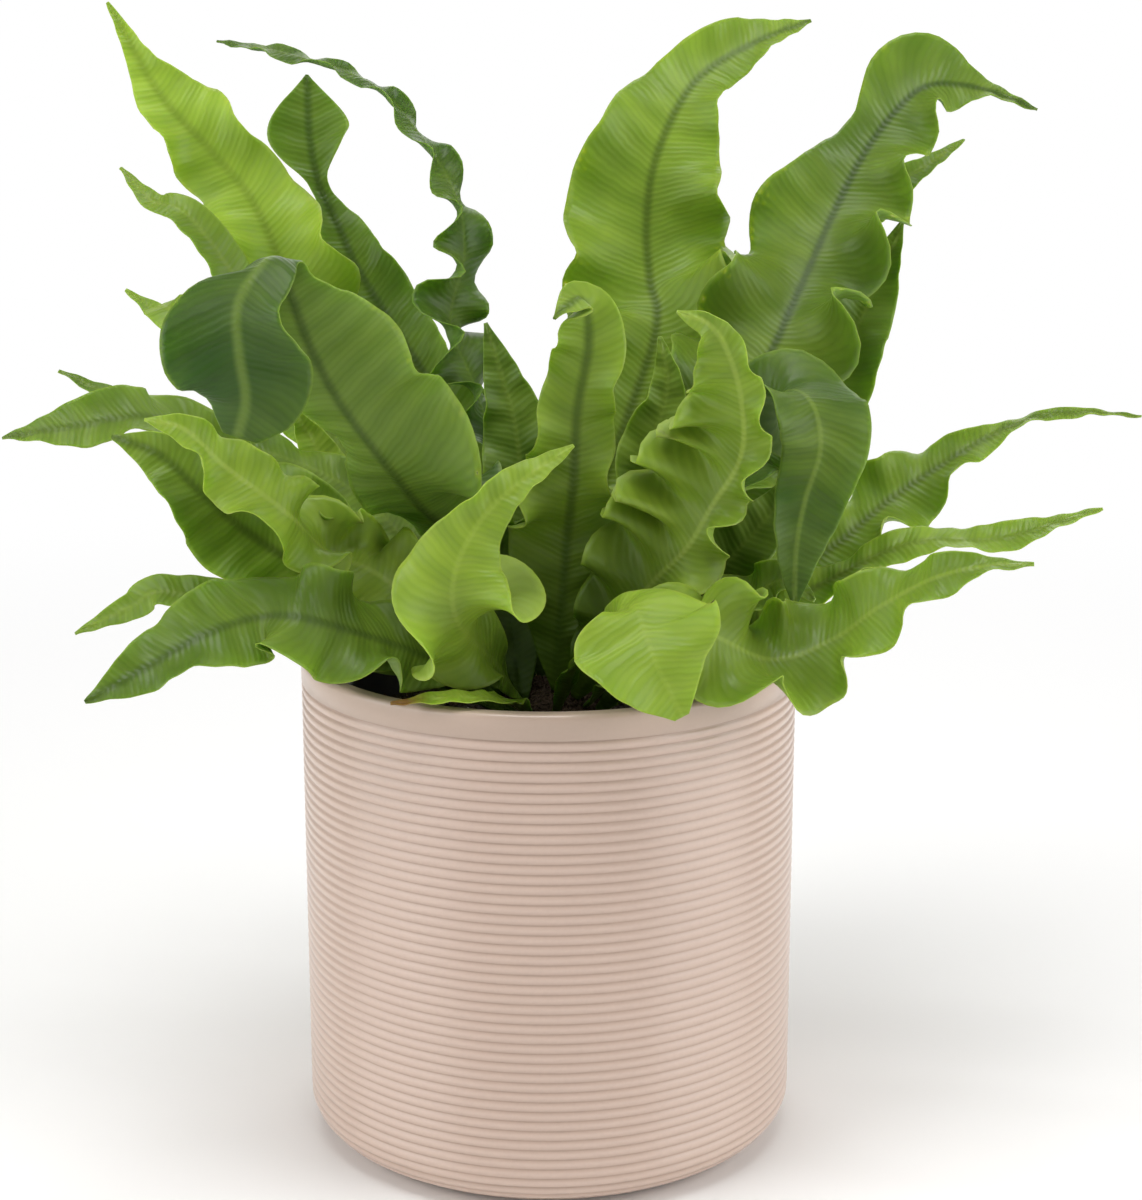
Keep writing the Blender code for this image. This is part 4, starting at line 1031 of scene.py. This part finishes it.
def frondMesh(name, frond):  # upper sheet, lower sheet and a narrow rim
    points, along, lateral, share, length = bladeSurface(frond)
    rows, columns = points.shape[:2]
    normal = unit(np.cross(np.gradient(points, axis=1), np.gradient(points, axis=0)))
    # soft quilting between the side veins, slanting to the tip and out of step on the two halves
    slant = along - np.abs(lateral) * 0.40 + 2.1 * (share > 0)
    fade = np.clip(np.abs(share) * 3, 0, 1) * np.clip(along / 25, 0, 1)
    quilt = blade["quilt"] * np.sin(2 * np.pi * slant / blade["quiltStep"] + 0.8 * np.sin(along / 17))
    fine = blade["crease"] * np.sin(2 * np.pi * slant / blade["creaseStep"])
    points = points + normal * ((quilt + fine) * fade)[..., None]
    taper = 1 - along / length
    ridge = np.exp(-(lateral / (blade["ribWide"] * (0.45 + 0.75 * taper))) ** 2) * (0.25 + 0.75 * taper)
    thick = blade["thick"] + (blade["edgeThick"] - blade["thick"]) * np.abs(share) ** 3
    upper = points + normal * (thick / 2 + blade["ribUp"] * ridge)[..., None]
    lower = points - normal * (thick / 2 + blade["ribDown"] * ridge)[..., None]
    count = rows * columns
    index = np.arange(count).reshape(rows, columns)
    top = np.stack([index[:-1, :-1], index[:-1, 1:], index[1:, 1:], index[1:, :-1]], -1).reshape(-1, 4)
    under = top[:, ::-1] + count
    loop = np.concatenate([index[0, :], index[1:, -1], index[-1, -2::-1], index[-2:0:-1, 0]])
    ahead = np.roll(loop, -1)
    rim = np.stack([ahead, loop, loop + count, ahead + count], -1)
    faces = np.concatenate([top, under, rim])
    mesh = bpy.data.meshes.new(name)
    spots = np.concatenate([upper.reshape(-1, 3), lower.reshape(-1, 3)]) * mm
    mesh.from_pydata(spots.tolist(), [], faces.tolist())
    flat = np.stack([along / 100, lateral / 100 + 0.5], -1).reshape(-1, 2)
    flat = np.concatenate([flat, flat])
    corners = np.empty(len(mesh.loops), int)
    mesh.loops.foreach_get("vertex_index", corners)
    leafMap = mesh.uv_layers.new(name="leafMap")
    leafMap.data.foreach_set("uv", flat[corners].ravel())
    markPoints(mesh, "margin", np.tile(np.abs(share).ravel(), 2))
    markPoints(mesh, "underside", np.repeat([0.0, 1.0], count))
    mesh.shade_smooth()
    return mesh


tones = {  # upper face, its veins and painted shade, lower face, and painted shade down at the crown, in linear light
    "young": {"face": (0.340, 0.475, 0.048), "deep": (0.200, 0.320, 0.020), "below": (0.350, 0.460, 0.075),
              "stalk": (0.080, 0.150, 0.010)},
    "old": {"face": (0.030, 0.080, 0.008), "deep": (0.012, 0.040, 0.004), "below": (0.065, 0.140, 0.018),
            "stalk": (0.012, 0.032, 0.004)},
}

midribs = {  # below 0 a dark band of painted shade, for a midrib seen against the light; above 0 a pale one
    "frondTallCentre": -0.75, "frondFrontUpright": -0.85, "frondFoldedLeft": -0.6, "frondTallRight": -0.7,
    "frondTallLeft": -0.35, "frondBackLeft": -0.6, "frondLeftVeined": -0.6, "frondLeftDrooping": -0.5,
    "frondLeftReaching": -0.4, "frondRightReaching": -0.5, "frondRightSlim": -0.3, "frondRuffledUpright": 0.7,
    "frondLeftTwisted": 0.7, "frondRightHanging": 0.5, "frondFrontCurled": 0.35, "frondRightRuffled": 0.4,
}


leafLook = {
    "veinStep": 0.0175,    # leafMap units, 0.1 m each
    "shadeBandStep": 0.082,     # broader bands of painted shade across the veins
    "veinSlant": 0.40,
    "palest": 0.0015,      # half width of the midrib's full colour
    "gloss": 0.27,
    "bump": (0.30, 0.00025),
    "glow": 0.45,          # light let through the blade
    "glowReach": 0.0018,
}


def toneOf(part, age):
    young, old = tones["young"][part], tones["old"][part]
    return tuple(a + (b - a) * age for a, b in zip(young, old))


def bands(tree, place, step):  # from 0 to 1 and back at every step
    wave = mathNode(tree, "SINE", mathNode(tree, "MULTIPLY", place, 2 * math.pi / step))
    return mathNode(tree, "MULTIPLY_ADD", wave, 0.5, 0.5)


def leafMaterial(name, frond):
    age, midrib = frond["age"], midribs.get(name, 0.2)
    faceAge = frond.get("faceAge", age)
    material, tree, shader = newMaterial("leaf_" + name)
    place = objectPlace(tree)
    leafMap = addNode(tree, "ShaderNodeUVMap", uv_map="leafMap").outputs[0]
    flat = addNode(tree, "ShaderNodeSeparateXYZ", [(0, leafMap)])
    away = mathNode(tree, "ABSOLUTE", mathNode(tree, "SUBTRACT", flat.outputs[1], 0.5))
    margin = addNode(tree, "ShaderNodeAttribute", attribute_name="margin").outputs["Fac"]
    under = addNode(tree, "ShaderNodeAttribute", attribute_name="underside").outputs["Fac"]
    # fine parallel side veins, slanting to the tip
    wander = noise(tree, leafMap, 16.0, 2.0)
    lean = mathNode(tree, "MULTIPLY", away, leafLook["veinSlant"])
    slant = mathNode(tree, "SUBTRACT", flat.outputs[0], lean)
    slant = mathNode(tree, "ADD", slant, mathNode(tree, "MULTIPLY", wander, 0.015))
    veins, shadeBands = (bands(tree, slant, leafLook[step]) for step in ("veinStep", "shadeBandStep"))
    patch = noise(tree, place, 38.0, 3.0)
    fine = noise(tree, place, 1500.0, 2.0)
    cloudy = ramp(tree, patch, [(0.32, 0.0), (0.68, 1.0)])
    older, younger = toneOf("face", min(1.0, faceAge + 0.18)), toneOf("face", max(0.0, faceAge - 0.10))
    face = mixColour(tree, cloudy, older, younger)
    # the veins darken the face, and broad bands of painted shade stand for the shading of its soft waves
    veinsAndShade = mathNode(tree, "MULTIPLY", mathNode(tree, "POWER", veins, 2.0), 0.20)
    veinsAndShade = mathNode(tree, "MULTIPLY_ADD", shadeBands, 0.32, veinsAndShade)
    face = mixColour(tree, veinsAndShade, face, toneOf("deep", faceAge))
    below = mixColour(tree, veinsAndShade, toneOf("below", age), toneOf("face", min(1.0, age + 0.2)))
    colour = mixColour(tree, under, face, below)
    # midrib: a dark band of painted shade on fronds seen against the light, a pale one on others
    wide = 0.012 if midrib > 0 else 0.022
    rib = remap(tree, away, (leafLook["palest"], wide), (1.0, 0.0), "SMOOTHSTEP")
    paleRib, darkRib = toneOf("below", max(0.0, faceAge - 0.3)), toneOf("deep", min(1.0, age + 0.3))
    ribTone = paleRib if midrib > 0 else darkRib
    if "faceAge" in frond:
        ribTone = mixColour(tree, under, paleRib, darkRib)
    colour = mixColour(tree, mathNode(tree, "MULTIPLY", rib, abs(midrib)), colour, ribTone)
    edge = remap(tree, margin, (0.95, 1.0), (0.0, 0.4))
    colour = mixColour(tree, edge, colour, toneOf("below", max(0.0, age - 0.3)))
    # painted shade: darker down towards the crown, in the shadow of the fronds around it
    stalk = remap(tree, flat.outputs[0], (0.08, 0.70), (0.9, 0.0), "SMOOTHSTEP")
    colour = mixColour(tree, stalk, colour, toneOf("stalk", age))
    if "browning" in frond:
        start = frond["browning"]
        far = remap(tree, flat.outputs[0], (start, start + 0.06), (0.0, 1.0))
        colour = mixColour(tree, far, colour, (0.20, 0.10, 0.02))
    tree.links.new(colour, shader.inputs["Base Color"])
    rough = remap(tree, patch, (0.3, 0.7), (0.36, 0.48))
    rough = mathNode(tree, "MULTIPLY_ADD", under, 0.12, rough)
    tree.links.new(rough, shader.inputs["Roughness"])
    height = mathNode(tree, "MULTIPLY_ADD", fine, 0.3, veins)
    roughen(tree, shader, height, *leafLook["bump"])
    shader.inputs["Subsurface Weight"].default_value = leafLook["glow"]
    shader.inputs["Subsurface Radius"].default_value = (0.7, 1.0, 0.15)
    shader.inputs["Subsurface Scale"].default_value = leafLook["glowReach"]
    shader.inputs["Specular IOR Level"].default_value = leafLook["gloss"]
    return material


for title in sorted(fronds):
    frond, nodeName = fronds[title], "frond_" + title
    words = nodeName.split("_")
    pieceName = words[0] + "".join(word.capitalize() for word in words[1:])
    leaf = leafMaterial(pieceName, frond)
    pieceFromMesh(pieceName, frondMesh(pieceName, frond), leaf, nodeName)
print("fronds", len(fronds))
